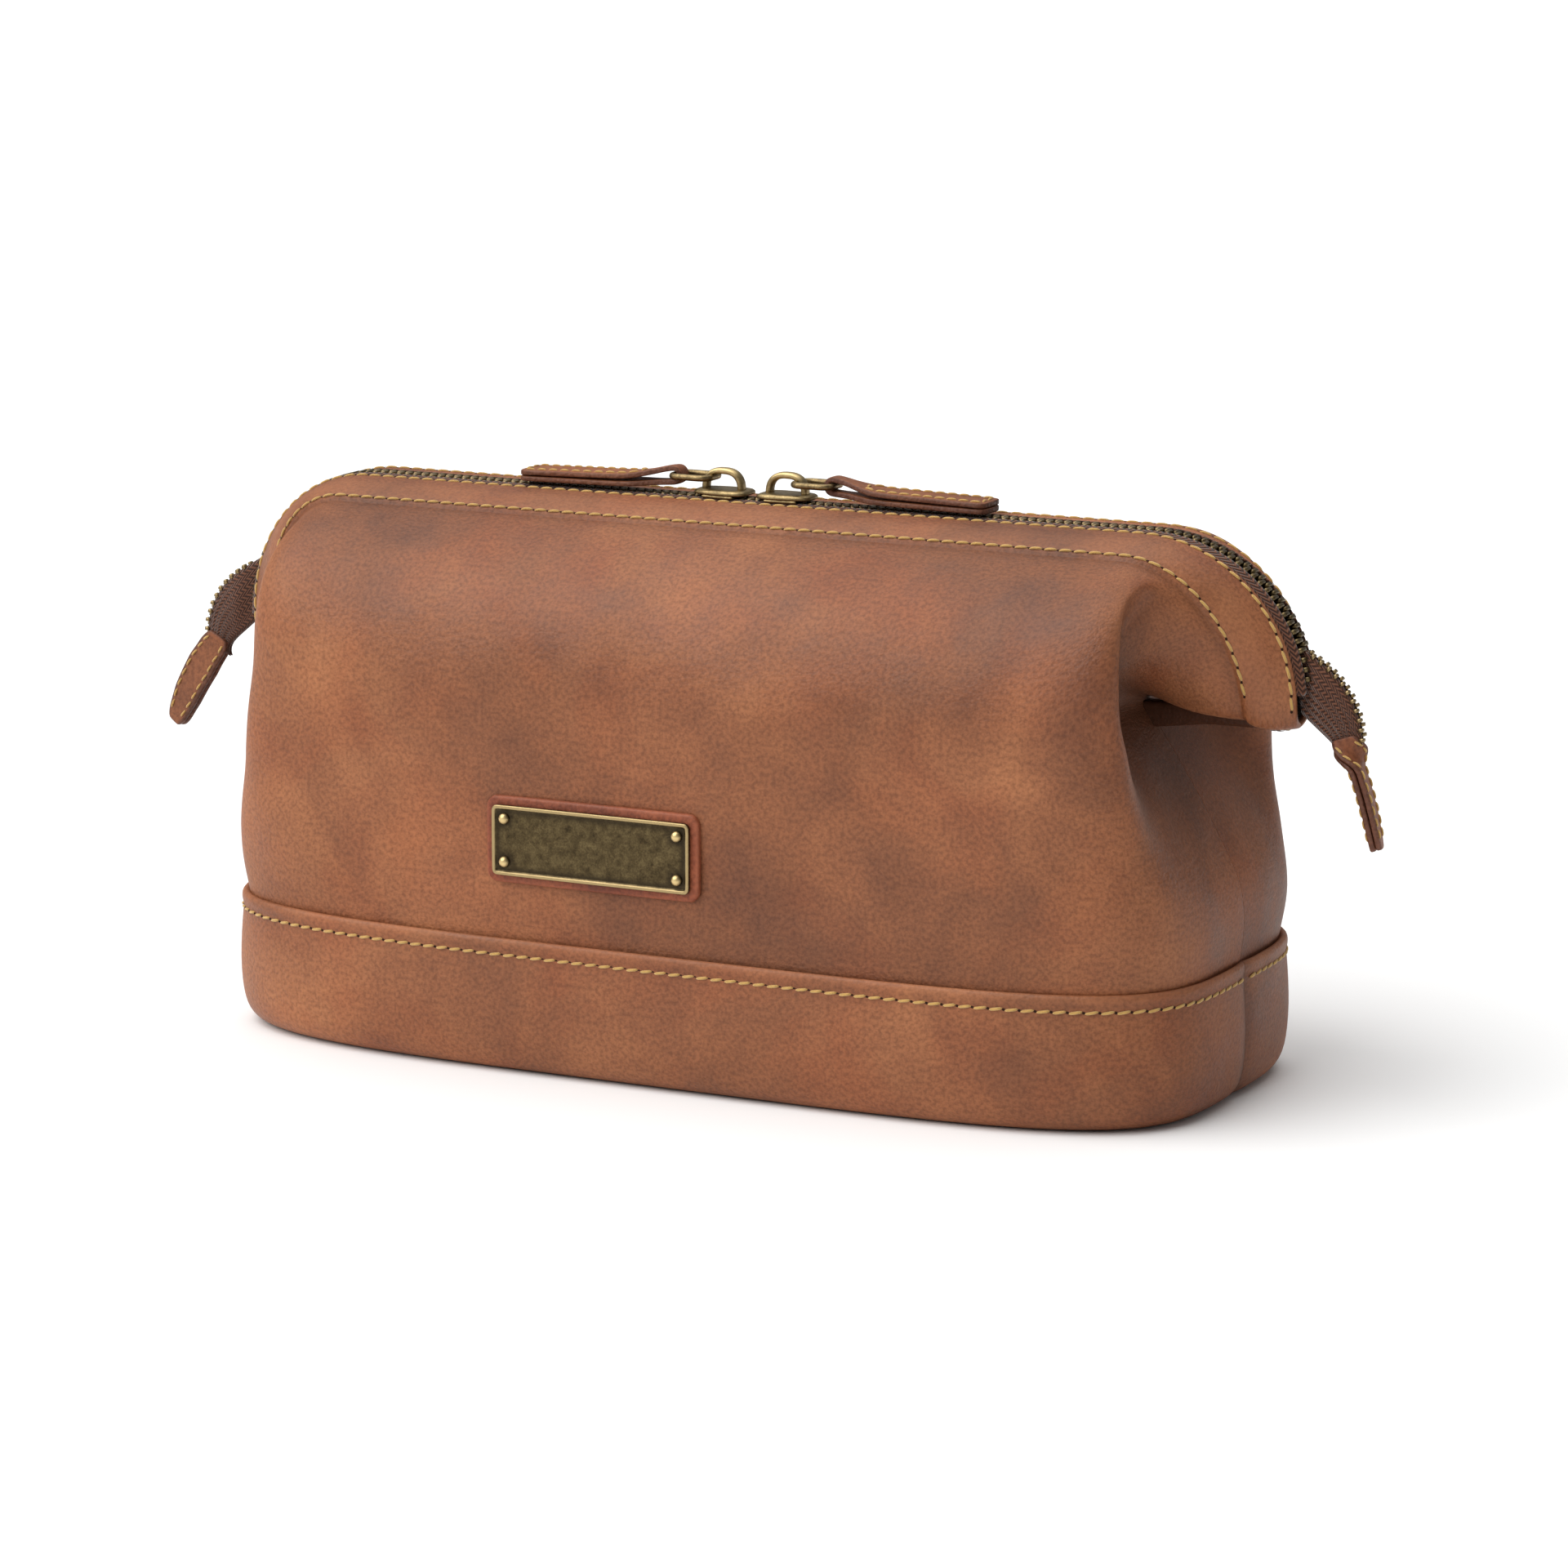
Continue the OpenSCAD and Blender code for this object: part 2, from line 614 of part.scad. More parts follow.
// Closed chain tape, from the wing's edge to its neck
module tail_tape(lean) {
    neck = [neck_x, neck_z] + tab_w * [cos(lean), sin(lean)] * 0.9;
    color(tape_c) union() {
        translate([0, tail_t / 2, 0]) rotate([90, 0, 0]) linear_extrude(tail_t) polygon([
            [tail_hinge_x, pivot_z + tail_low], [neck_x, neck_z], neck,
            [tail_hinge_x + tail_out, pivot_z + 4], [tail_hinge_x + 8.5, pivot_z + 11],
            [tail_hinge_x + 4, pivot_z + 16], [tail_hinge_x, pivot_z + tail_high]
        ]);
        translate([tail_hinge_x, 0, pivot_z + tail_low - 0.5])
            cylinder(r = tail_fold_r, h = tail_high - tail_low + 1);
    }
}
// Leather tab sewn round the end of the tape
module tail_tab(lean) {
    color(leather_c) translate([neck_x, tail_tab_t / 2, neck_z]) rotate([90, -lean, 0])
        linear_extrude(tail_tab_t) union() {
            polygon([[0, -ply_gap], [1.2, -tab_l + 2], [tab_w - 2, -tab_l + 2], [tab_w, -ply_gap]]);
            translate([3.2, -tab_l + 2]) circle(2);
            translate([tab_w - 4, -tab_l + 2]) circle(2);
            translate([3.2, -tab_l]) square([tab_w - 7.2, 2.5]);
        }
}
module left_tail_tape() { at_left() tail_tape(left_tab_lean); }
module right_tail_tape() { tail_tape(right_tab_lean); }
module left_tail_tab() { at_left() tail_tab(left_tab_lean); }
module right_tail_tab() { tail_tab(right_tab_lean); }

bottom_panel();
base_board();
base_lining();
front_base_band();
rear_base_band();
front_panel();
rear_panel();
front_lining();
rear_lining();
inner_pocket();
plate_backing();
name_plate();
plate_pins();
left_hinge_tab();
right_hinge_tab();
left_hinge_rivet();
right_hinge_rivet();
left_tail_anchor();
right_tail_anchor();
front_frame_wire();
front_mouth_strip();
front_facing();
front_shoulder();
front_zip_tape();
front_zip_teeth();
rear_frame_wire();
rear_mouth_strip();
rear_facing();
rear_shoulder();
rear_zip_tape();
rear_zip_teeth();
left_slider();
right_slider();
left_pull_ring();
right_pull_ring();
left_pull();
right_pull();
left_tail_tape();
right_tail_tape();
left_tail_tab();
right_tail_tab();
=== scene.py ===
"""Looks of a leather wash bag on two hinged wire frames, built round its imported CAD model.

Shapes are worked out in millimetres from the CAD frame and written to the meshes in metres.
The front is towards -Y, the length is along X and +Z is up, as in the frame.
"""

import json
import math

import bmesh
import bpy
import numpy as np
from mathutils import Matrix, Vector, noise


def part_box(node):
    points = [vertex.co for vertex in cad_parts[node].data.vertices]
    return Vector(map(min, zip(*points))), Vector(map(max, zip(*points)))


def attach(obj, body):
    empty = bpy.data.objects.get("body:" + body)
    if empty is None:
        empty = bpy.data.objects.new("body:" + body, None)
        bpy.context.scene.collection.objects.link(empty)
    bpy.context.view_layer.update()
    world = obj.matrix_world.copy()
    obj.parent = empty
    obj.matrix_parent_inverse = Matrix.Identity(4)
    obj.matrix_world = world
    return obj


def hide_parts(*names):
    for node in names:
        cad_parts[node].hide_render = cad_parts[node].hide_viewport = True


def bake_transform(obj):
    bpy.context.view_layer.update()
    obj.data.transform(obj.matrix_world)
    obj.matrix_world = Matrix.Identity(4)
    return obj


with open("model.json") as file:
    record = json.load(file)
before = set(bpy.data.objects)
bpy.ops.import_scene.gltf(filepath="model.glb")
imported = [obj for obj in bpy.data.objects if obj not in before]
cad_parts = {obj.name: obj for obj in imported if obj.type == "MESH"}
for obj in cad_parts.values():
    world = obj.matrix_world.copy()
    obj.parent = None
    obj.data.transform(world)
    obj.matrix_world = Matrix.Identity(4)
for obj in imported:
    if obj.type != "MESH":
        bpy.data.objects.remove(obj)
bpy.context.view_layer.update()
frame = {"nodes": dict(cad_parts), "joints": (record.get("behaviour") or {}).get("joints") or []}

MM = 0.001


# ---- Sizes read from the frame ----

def box_mm(node):
    low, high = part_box(node)
    return np.array(low) / MM, np.array(high) / MM


JOINTS = {j["name"]: j for j in frame["joints"]}


def joint_mm(name):
    return np.array(JOINTS[name]["pos_m"]) / MM


band_low, band_high = box_mm("front_base_band")
HALF_L = band_high[0]
HALF_D = -band_low[1]
BAND_H = band_high[2]
PIVOT_Z = joint_mm("front_mouth_hinge")[2]
TAPE_T = 0.8
BAG_H = box_mm("front_zip_tape")[1][2] - TAPE_T / 2
TAIL_X = joint_mm("right_tail_hinge")[0]
WING_X = TAIL_X - 2.8
WALL_INSET = HALF_D + box_mm("front_panel")[0][1]
RING_X, _, RING_Z = joint_mm("right_ring_hinge")
LOOP_X = joint_mm("right_pull_hinge")[0]

# The mouth: a surface from the zip tape (u 0) to its seam with the bag (u 1),
# bent down at both wings
BEND_Z = PIVOT_Z + 3
WING_BEND = BAG_H - BEND_Z + 1.5
BEND_X = WING_X - WING_BEND
TAPE_EDGE = 2.2
MOUTH_FAR = 20.1
WING_FAR = 6.8
WING_IN = 15
CHANNEL_DROP = 4.9
LIP = 6.0
LIP_DROP = 3.4
S_BEND = BEND_X + WING_BEND * math.pi / 2
S_END = S_BEND + LIP
LEFT_DRAW = 0.92


def mouth_base(s, u, draw=1.0):
    """Point of the right half of the mouth at the distance s along it and the share u across it."""
    a = min(max((s - BEND_X) / WING_BEND, 0), math.pi / 2)
    lip = min(max((s - S_BEND) / LIP, 0), 1) * math.pi / 2
    y = -TAPE_EDGE - u * (MOUTH_FAR * math.cos(a) + WING_FAR * (1 - math.cos(a)))
    return np.array([
        min(s, BEND_X) + draw * (WING_BEND - WING_IN * u) * math.sin(a),
        y * math.cos(lip) - 0.12,
        BEND_Z + (BAG_H - CHANNEL_DROP * u - BEND_Z) * math.cos(a) - LIP_DROP * math.sin(lip),
    ])


def mouth_frame(s, u):
    """Point, direction along the mouth, and normal, for s on either side of the middle."""
    side = -1 if s < 0 else 1
    s, draw = min(abs(s), S_END - 0.02), LEFT_DRAW if s < 0 else 1.0
    p = mouth_base(s, u, draw)
    along = mouth_base(s + 0.01, u, draw) - mouth_base(s - 0.01, u, draw)
    across = mouth_base(s, u + 0.01, draw) - mouth_base(s, u - 0.01, draw)
    n = np.cross(across, along)
    flip = np.array([side, 1, 1])
    along /= np.linalg.norm(along)
    return p * flip, along * flip * side, n / np.linalg.norm(n) * flip


def mouth(s, u, lift=0.0):
    p, _, n = mouth_frame(s, u)
    return p + n * lift


# ---- Body walls ----

BAND_POWER = 4.2
TUCK_FLAT = 26
TUCK_EDGE = 57


def smooth(a, b, x):
    t = np.clip((x - a) / (b - a), 0, 1)
    return t * t * (3 - 2 * t)


def plan_power(z):
    return np.interp(z, [BAND_H, PIVOT_Z - 29, PIVOT_Z - 11], [4.4, 5, 6])


def tuck(z):
    return np.interp(z - PIVOT_Z, [-60, -46, -30, -15, 0, 6], [0, 0.8, 7.5, 17, 25, 28])


def bulge(z):
    """How far the ends of the bag swell past its lap under the band, in millimetres."""
    return np.interp(z, [BAND_H + 1, BAND_H + 9, BAND_H + 24, PIVOT_Z - 20, PIVOT_Z - 4],
                     [0.2, 2.0, 2.5, 1.4, 0])


def plan_curve(z, inset, tucked=True, count=181):
    """Front half of the plan at height z, from the middle of the front to the right end seam."""
    n = plan_power(z)
    t = np.linspace(-math.pi / 2, 0, count)
    q = (np.abs(np.cos(t)) ** n + np.abs(np.sin(t)) ** n) ** (1 / n)
    x = (HALF_L - inset) * np.cos(t) / q
    y = (HALF_D - inset) * np.sin(t) / q
    if tucked:
        x = x - tuck(z) * (1 - smooth(TUCK_FLAT, TUCK_EDGE, np.abs(y)))
        swell = bulge(z) * smooth(70, 118, x)
        x, y = x + swell, y * (1 + swell / HALF_D)
    return np.stack([x, y], 1)


FIXED_S = 92


def wall_row(z, inset, stations, tucked=True):
    """Points of the wall at height z that lie under the given stations of the mouth."""
    curve = plan_curve(z, inset, tucked)
    arc = np.concatenate([[0], np.cumsum(np.linalg.norm(np.diff(curve, axis=0), axis=1))])
    s = np.abs(stations)
    stretch = (arc[-1] - FIXED_S) / (S_END - FIXED_S)
    s = np.where(s <= FIXED_S, s, FIXED_S + (s - FIXED_S) * stretch)
    x = np.interp(s, arc, curve[:, 0]) * np.where(stations < 0, -1, 1)
    y = np.minimum(np.interp(s, arc, curve[:, 1]), -0.06)
    return np.stack([x, y, np.full(len(s), float(z))], 1)


# ---- Meshes ----

def add_mesh(name, verts, faces, materials, uvs=None, face_materials=None, smooth=True):
    mesh = bpy.data.meshes.new(name)
    mesh.from_pydata([tuple(v) for v in np.asarray(verts, float) * MM], [],
                     [tuple(f) for f in faces])
    if uvs is not None:
        layer = mesh.uv_layers.new(name="UVMap")
        index = np.zeros(len(mesh.loops), int)
        mesh.loops.foreach_get("vertex_index", index)
        layer.data.foreach_set("uv", np.asarray(uvs, float)[index].ravel())
    for m in materials:
        mesh.materials.append(m)
    if face_materials is not None:
        mesh.polygons.foreach_set("material_index", np.asarray(face_materials, int))
    if smooth:
        mesh.polygons.foreach_set("use_smooth", [True] * len(mesh.polygons))
    mesh.update()
    piece = bpy.data.objects.new(name, mesh)
    bpy.context.scene.collection.objects.link(piece)
    return piece


def apply_modifiers(piece):
    graph = bpy.context.evaluated_depsgraph_get()
    mesh = bpy.data.meshes.new_from_object(piece.evaluated_get(graph), depsgraph=graph)
    piece.modifiers.clear()
    piece.data = mesh
    mesh.polygons.foreach_set("use_smooth", [True] * len(mesh.polygons))


def subdivide(piece, levels):
    m = piece.modifiers.new("subdivision", "SUBSURF")
    m.levels = m.render_levels = levels


def grid_faces(rows, cols, wrap=False, start=0, flip=False):
    faces = []
    for r in range(rows - 1):
        for c in range(cols if wrap else cols - 1):
            d = (c + 1) % cols
            f = [start + r * cols + c, start + r * cols + d, start + (r + 1) * cols + d,
                 start + (r + 1) * cols + c]
            faces.append(f[::-1] if flip else f)
    return faces


class Build:
    """Gathers several shapes into one mesh."""

    def __init__(self):
        self.verts, self.faces, self.mats, self.uvs = [], [], [], []

    def add(self, verts, faces, mat=0, uvs=None):
        start = len(self.verts)
        self.verts.extend(np.asarray(verts, float).tolist())
        self.faces.extend([[i + start for i in f] for f in faces])
        self.mats.extend([mat] * len(faces))
        if uvs is None:
            uvs = np.asarray(verts, float)[:, :2] * MM
        self.uvs.extend(np.asarray(uvs, float).tolist())

    def loft(self, rings, mat=0, caps=True, closed=True):
        """A skin through rings of points with the same count, closed at both ends by fans."""
        rings = [np.asarray(r, float) for r in rings]
        cols = len(rings[0])
        verts = np.concatenate(rings)
        faces = grid_faces(len(rings), cols, wrap=closed)
        u = np.tile(np.arange(cols) / cols * 0.01, len(rings))
        v = np.repeat(np.arange(len(rings)) * 0.001, cols)
        if caps:
            low, high = len(verts), len(verts) + 1
            verts = np.concatenate([verts, [rings[0].mean(0)], [rings[-1].mean(0)]])
            top = (len(rings) - 1) * cols
            faces += [[low, (c + 1) % cols, c] for c in range(cols)]
            faces += [[high, top + c, top + (c + 1) % cols] for c in range(cols)]
            u, v = np.append(u, [0, 0]), np.append(v, [0, 0])
        self.add(verts, faces, mat, np.stack([u, v], 1))

    def piece(self, name, materials, smooth=True):
        return add_mesh(name, self.verts, self.faces, materials, self.uvs, self.mats, smooth)


def mirror_x(points):
    return np.asarray(points, float) * [-1, 1, 1]


def mirror_y(points):
    return np.asarray(points, float) * [1, -1, 1]


def fix_normals(piece):
    bm = bmesh.new()
    bm.from_mesh(piece.data)
    bmesh.ops.recalc_face_normals(bm, faces=bm.faces)
    bm.to_mesh(piece.data)
    bm.free()


# ---- Materials ----

class Shader:
    """A Principled material and short ways to add the nodes that feed it."""

    def __init__(self, name, **sockets):
        self.mat = bpy.data.materials.new(name)
        self.mat.use_nodes = True
        self.tree = self.mat.node_tree
        self.bsdf = self.tree.nodes["Principled BSDF"]
        for key, value in sockets.items():
            self.bsdf.inputs[key.replace("_", " ")].default_value = value

    def node(self, kind, links=None, **props):
        n = self.tree.nodes.new(kind)
        for key, value in props.items():
            setattr(n, key, value)
        for socket, value in (links or {}).items():
            if isinstance(value, bpy.types.NodeSocket):
                self.tree.links.new(value, n.inputs[socket])
            else:
                n.inputs[socket].default_value = value
        return n

    def coords(self, kind="Object", stretch=(1, 1, 1), turn=0.0):
        c = self.node("ShaderNodeTexCoord").outputs[kind]
        m = self.node("ShaderNodeMapping", {"Vector": c})
        m.inputs["Scale"].default_value = stretch
        m.inputs["Rotation"].default_value = (0, 0, turn)
        return m.outputs["Vector"]

    def noise(self, vector, scale, detail=3.0, roughness=0.5, distortion=0.0):
        return self.node("ShaderNodeTexNoise", {
            "Vector": vector, "Scale": scale, "Detail": detail,
            "Roughness": roughness, "Distortion": distortion}).outputs["Fac"]

    def cells(self, vector, scale, feature="F1"):
        return self.node("ShaderNodeTexVoronoi", {"Vector": vector, "Scale": scale},
                         feature=feature).outputs["Distance"]

    def wave(self, vector, scale, direction="X", distortion=0.0, profile="SIN"):
        return self.node("ShaderNodeTexWave", {"Vector": vector, "Scale": scale,
                                               "Distortion": distortion},
                         bands_direction=direction, wave_profile=profile).outputs["Fac"]

    def ramp(self, fac, stops):
        r = self.node("ShaderNodeValToRGB", {"Fac": fac})
        e = r.color_ramp.elements
        for i, (at, colour) in enumerate(stops):
            item = e[i] if i < 2 else e.new(at)
            item.position = at
            item.color = (*colour, 1) if len(colour) == 3 else colour
        return r.outputs["Color"]

    def grey(self, fac, low, high, at=(0.3, 0.7)):
        return self.node("ShaderNodeMapRange", {
            "Value": fac, "From Min": at[0], "From Max": at[1], "To Min": low,
                                                "To Max": high}).outputs["Result"]

    def mix(self, fac, a, b, blend="MIX"):
        n = self.node("ShaderNodeMix", data_type="RGBA", blend_type=blend)
        for socket, value in ((n.inputs[0], fac), (n.inputs[6], a), (n.inputs[7], b)):
            if isinstance(value, bpy.types.NodeSocket):
                self.tree.links.new(value, socket)
            else:
                socket.default_value = (*value, 1) if isinstance(value, tuple) else value
        return n.outputs[2]

    def math(self, op, a, b):
        n = self.node("ShaderNodeMath", operation=op)
        for i, value in enumerate((a, b)):
            if isinstance(value, bpy.types.NodeSocket):
                self.tree.links.new(value, n.inputs[i])
            else:
                n.inputs[i].default_value = value
        return n.outputs[0]

    def attribute(self, name):
        return self.node("ShaderNodeAttribute", attribute_name=name).outputs["Fac"]

    def bump(self, height, strength, distance, normal=None):
        links = {"Height": height, "Strength": strength, "Distance": distance}
        if normal is not None:
            links["Normal"] = normal
        return self.node("ShaderNodeBump", links).outputs["Normal"]

    def finish(self, colour=None, roughness=None, normal=None):
        for socket, value in (("Base Color", colour), ("Roughness", roughness), ("Normal", normal)):
            if value is not None:
                self.tree.links.new(value, self.bsdf.inputs[socket])
        return self.mat


def leather(name, dark, mid, light, coords="Object", worn=(0.42, 0.175, 0.08), grain=1.0):
    """Waxed pull-up leather: mottled colour, fine pebbled grain, paler where it is handled,
    darkened by painted shade.
    """
    s = Shader(name, Specular_IOR_Level=0.3)
    at = s.coords(coords)
    clouds = s.noise(at, 12, 4, 0.55, 0.5)
    patches = s.noise(at, 46, 5, 0.62, 0.4)
    tone = s.math("ADD", s.math("MULTIPLY", clouds, 0.68), s.math("MULTIPLY", patches, 0.32))
    colour = s.ramp(tone, [(0.33, dark), (0.5, mid), (0.66, light)])
    reddish = s.ramp(s.noise(at, 28, 3, 0.5, 0.8), [(0.45, (1, 1, 1)), (0.72, (1.0, 0.86, 0.8))])
    colour = s.mix(0.8, colour, reddish, "MULTIPLY")
    pores = s.cells(s.coords(coords, (1, 1.25, 1)), 1150, "F1")
    fine = s.noise(at, 900, 4, 0.6)
    speck = s.ramp(fine, [(0.36, (0.66, 0.62, 0.60)), (0.6, (1.1, 1.09, 1.08))])
    colour = s.mix(0.85, colour, speck, "MULTIPLY")
    colour = s.mix(s.math("MULTIPLY", s.attribute("wear"), s.grey(patches, 0.4, 0.9)), colour, worn)
    # Painted shade: the shade attribute darkens the leather's colour in folds, grooves, laps and
    # parts in shadow.
    shade = s.math("MULTIPLY", s.attribute("shade"), 0.8)
    colour = s.mix(shade, colour, tuple(c * 0.35 for c in dark))
    rough = s.grey(patches, 0.44, 0.6)
    creases = s.noise(s.coords(coords, (1, 2.2, 1)), 130, 5, 0.62, 1.2)
    normal = s.bump(creases, 0.22 * grain, 0.0012)
    normal = s.bump(pores, 0.34 * grain, 0.00022, normal)
    normal = s.bump(fine, 0.3 * grain, 0.0002, normal)
    return s.finish(colour, rough, normal)


def thread_material():
    s = Shader("gold_thread", Specular_IOR_Level=0.4, Sheen_Weight=0.25)
    at = s.coords("UV")
    ply = s.wave(s.coords("UV", (1, 1, 1), 0.7), 900, "X")
    colour = s.ramp(ply, [(0.2, (0.46, 0.25, 0.05)), (0.8, (0.86, 0.54, 0.15))])
    tint = s.ramp(s.noise(at, 300, 2), [(0.3, (0.82, 0.8, 0.78)), (0.7, (1.05, 1.05, 1.05))])
    return s.finish(s.mix(1.0, colour, tint, "MULTIPLY"), s.grey(ply, 0.5, 0.62),
                    s.bump(ply, 0.5, 0.0002))


def hole_shade_material():
    # Near-black discs stand in for the needle holes: painted shade inside each hole.
    s = Shader("needle_hole_shade", Specular_IOR_Level=0.1)
    at = s.coords()
    fibre = s.noise(at, 2000, 3)
    return s.finish(s.ramp(fibre, [(0.3, (0.012, 0.006, 0.004)), (0.8, (0.05, 0.022, 0.012))]),
                    s.grey(fibre, 0.8, 0.95), s.bump(fibre, 0.3, 0.0001))


def tape_material():
    """Woven herringbone tape: two slanted sets of ribs in alternate bands."""
    s = Shader("woven_tape", Specular_IOR_Level=0.25, Sheen_Weight=0.35, Sheen_Roughness=0.4)
    left = s.wave(s.coords("UV", (1, 1, 1), 0.9), 330, "X")
    right = s.wave(s.coords("UV", (1, 1, 1), -0.9), 330, "X")
    band = s.wave(s.coords("UV"), 118, "Y", 0, "SAW")
    which = s.grey(band, 0, 1, (0.47, 0.53))
    ribs = s.node("ShaderNodeMix", {0: which, 2: left, 3: right}, data_type="FLOAT").outputs[0]
    fuzz = s.noise(s.coords("UV"), 2600, 3)
    colour = s.ramp(ribs, [(0.15, (0.034, 0.012, 0.006)), (0.7, (0.135, 0.050, 0.026)),
                           (1.0, (0.185, 0.075, 0.040))])
    colour = s.mix(0.5, colour, s.ramp(fuzz, [(0.3, (0.6, 0.58, 0.56)), (0.7, (1.15, 1.15, 1.15))]),
                   "MULTIPLY")
    normal = s.bump(ribs, 0.7, 0.0004)
    return s.finish(colour, s.grey(fuzz, 0.7, 0.85), s.bump(fuzz, 0.3, 0.0001, normal))


def brass_material(name="antique_brass", bright=1.0, rubbed=(0.72, 0.54, 0.26)):
    """Antique brass: mottled dark patina, painted shade in the recesses, rubbed bright along the
    edges.
    """
    s = Shader(name, Metallic=1.0, Specular_IOR_Level=0.5)
    at = s.coords()
    clouds = s.noise(at, 420, 6, 0.66, 0.4)
    fine = s.noise(at, 1900, 4, 0.65)
    tone = s.math("ADD", s.math("MULTIPLY", clouds, 0.6), s.math("MULTIPLY", fine, 0.4))
    colour = s.ramp(tone, [
        (0.34, (0.085 * bright, 0.060 * bright, 0.032 * bright)),
        (0.5, (0.21 * bright, 0.150 * bright, 0.072 * bright)),
        (0.66, (0.36 * bright, 0.265 * bright, 0.125 * bright))])
    # Painted shade: the shade attribute darkens the recesses nearly to black.
    colour = s.mix(s.attribute("shade"), colour, (0.03, 0.022, 0.014))
    colour = s.mix(s.attribute("wear"), colour, rubbed)
    return s.finish(colour, s.grey(tone, 0.5, 0.3), s.bump(fine, 0.12, 0.00015))


def cloth_material(name, low, high, scale=420):
    """Plain woven cotton."""
    s = Shader(name, Specular_IOR_Level=0.2, Sheen_Weight=0.3, Sheen_Roughness=0.5)
    warp = s.wave(s.coords("UV"), scale, "X")
    weft = s.wave(s.coords("UV"), scale, "Y")
    weave = s.math("MULTIPLY", warp, weft)
    slub = s.noise(s.coords("UV", (1, 0.2, 1)), 700, 3)
    tone = s.math("ADD", s.math("MULTIPLY", weave, 0.5), s.math("MULTIPLY", slub, 0.5))
    cloud = s.ramp(s.noise(s.coords(), 25, 3), [(0.3, (0.88, 0.88, 0.88)),
                                                (0.7, (1.05, 1.05, 1.05))])
    colour = s.mix(1.0, s.ramp(tone, [(0.2, low), (0.75, high)]), cloud, "MULTIPLY")
    return s.finish(colour, s.grey(slub, 0.78, 0.9), s.bump(weave, 0.5, 0.0003))


def steel_material():
    s = Shader("drawn_steel", Metallic=1.0)
    at = s.coords("Object", (0.15, 1, 1))
    lines = s.noise(at, 900, 4)
    return s.finish(s.ramp(lines, [(0.3, (0.36, 0.36, 0.36)), (0.7, (0.6, 0.6, 0.59))]),
                    s.grey(lines, 0.28, 0.42), s.bump(lines, 0.1, 0.0001))


def board_material():
    s = Shader("fibre_board", Specular_IOR_Level=0.2)
    fibre = s.noise(s.coords("Object", (1, 3, 1)), 500, 5)
    return s.finish(s.ramp(fibre, [(0.3, (0.035, 0.033, 0.03)), (0.7, (0.075, 0.07, 0.062))]),
                    s.grey(fibre, 0.8, 0.95), s.bump(fibre, 0.3, 0.0002))


HIDE = dict(dark=(0.130, 0.047, 0.022), mid=(0.245, 0.088, 0.036), light=(0.365, 0.142, 0.058))
hide = leather("bag_leather", coords="UV", **HIDE)
hide_solid = leather("trim_leather", coords="Object", dark=(0.115, 0.040, 0.018),
                     mid=(0.215, 0.074, 0.029),
                     light=(0.31, 0.115, 0.044))
edge_leather = leather("cut_edge_leather", (0.06, 0.024, 0.014), (0.13, 0.05, 0.028),
                       (0.2, 0.085, 0.045), grain=2.0)
patch_leather = leather("patch_leather", (0.12, 0.030, 0.014), (0.235, 0.062, 0.027),
                        (0.33, 0.10, 0.042),
                        worn=(0.42, 0.14, 0.07))
thread = thread_material()
needle_hole_shade = hole_shade_material()
tape_weave = tape_material()
brass = brass_material()
plate_brass = brass_material("plate_brass", 0.42, (0.5, 0.37, 0.18))
zip_brass = brass_material("zip_brass", 0.6, (0.5, 0.36, 0.18))
lining_cloth = cloth_material("lining_cotton", (0.055, 0.045, 0.035), (0.17, 0.14, 0.11))
steel = steel_material()
board = board_material()


def set_attribute(piece, name, values):
    a = piece.data.attributes.get(name) or piece.data.attributes.new(name, "FLOAT", "POINT")
    a.data.foreach_set("value", np.asarray(values, np.float32))


def get_attribute(piece, name):
    values = np.zeros(len(piece.data.vertices), np.float32)
    piece.data.attributes[name].data.foreach_get("value", values)
    return values


def coordinates(piece):
    co = np.zeros(len(piece.data.vertices) * 3, np.float32)
    piece.data.vertices.foreach_get("co", co)
    return co.reshape(-1, 3).astype(float) / MM


# ---- Stitching ----

def stitch_row(build, hole_shades, frames, pitch=4.0, length=3.3, radius=0.36, slant=0.10):
    """Saddle stitches along a path given as (point, direction, normal) frames, close together."""
    points = np.array([f[0] for f in frames])
    arc = np.concatenate([[0], np.cumsum(np.linalg.norm(np.diff(points, axis=0), axis=1))])
    count = max(int(arc[-1] / pitch), 1)
    step = arc[-1] / count
    for i in range(count):
        at = (i + 0.5) * step
        j = min(max(int(np.searchsorted(arc, at)), 1), len(frames) - 1)
        k = (at - arc[j - 1]) / max(arc[j] - arc[j - 1], 1e-6)
        p = points[j - 1] * (1 - k) + points[j] * k
        d = points[j] - points[j - 1]
        d = d / np.linalg.norm(d)
        n = frames[j][2] - d * (frames[j][2] @ d)
        n = n / np.linalg.norm(n)
        side = np.cross(n, d)
        heading = d + side * slant
        rings, lengths = [], np.linspace(-1, 1, 7)
        for q in lengths:
            arch = 0.42 - 0.62 * abs(q) ** 3
            middle = p + heading * (q * length / 2) + n * (arch * radius)
            r = radius * (1 - 0.45 * abs(q) ** 4)
            rings.append([middle + side * (r * 1.15 * math.cos(t)) + n * (r * math.sin(t))
                          for t in np.linspace(0, 2 * math.pi, 7)[:-1]])
        build.loft(rings)
        if hole_shades is not None:
            # A near-black disc on the surface at each hole: painted shade.
            centre = p + d * (step / 2) + n * 0.07
            disc = [centre + d * (0.42 * math.cos(t)) + side * (0.36 * math.sin(t))
                    for t in np.linspace(0, 2 * math.pi, 9)[:-1]]
            hole_shades.add(np.array(disc), [list(range(8))])


# ---- Front and rear leather, each one continuous piece ----

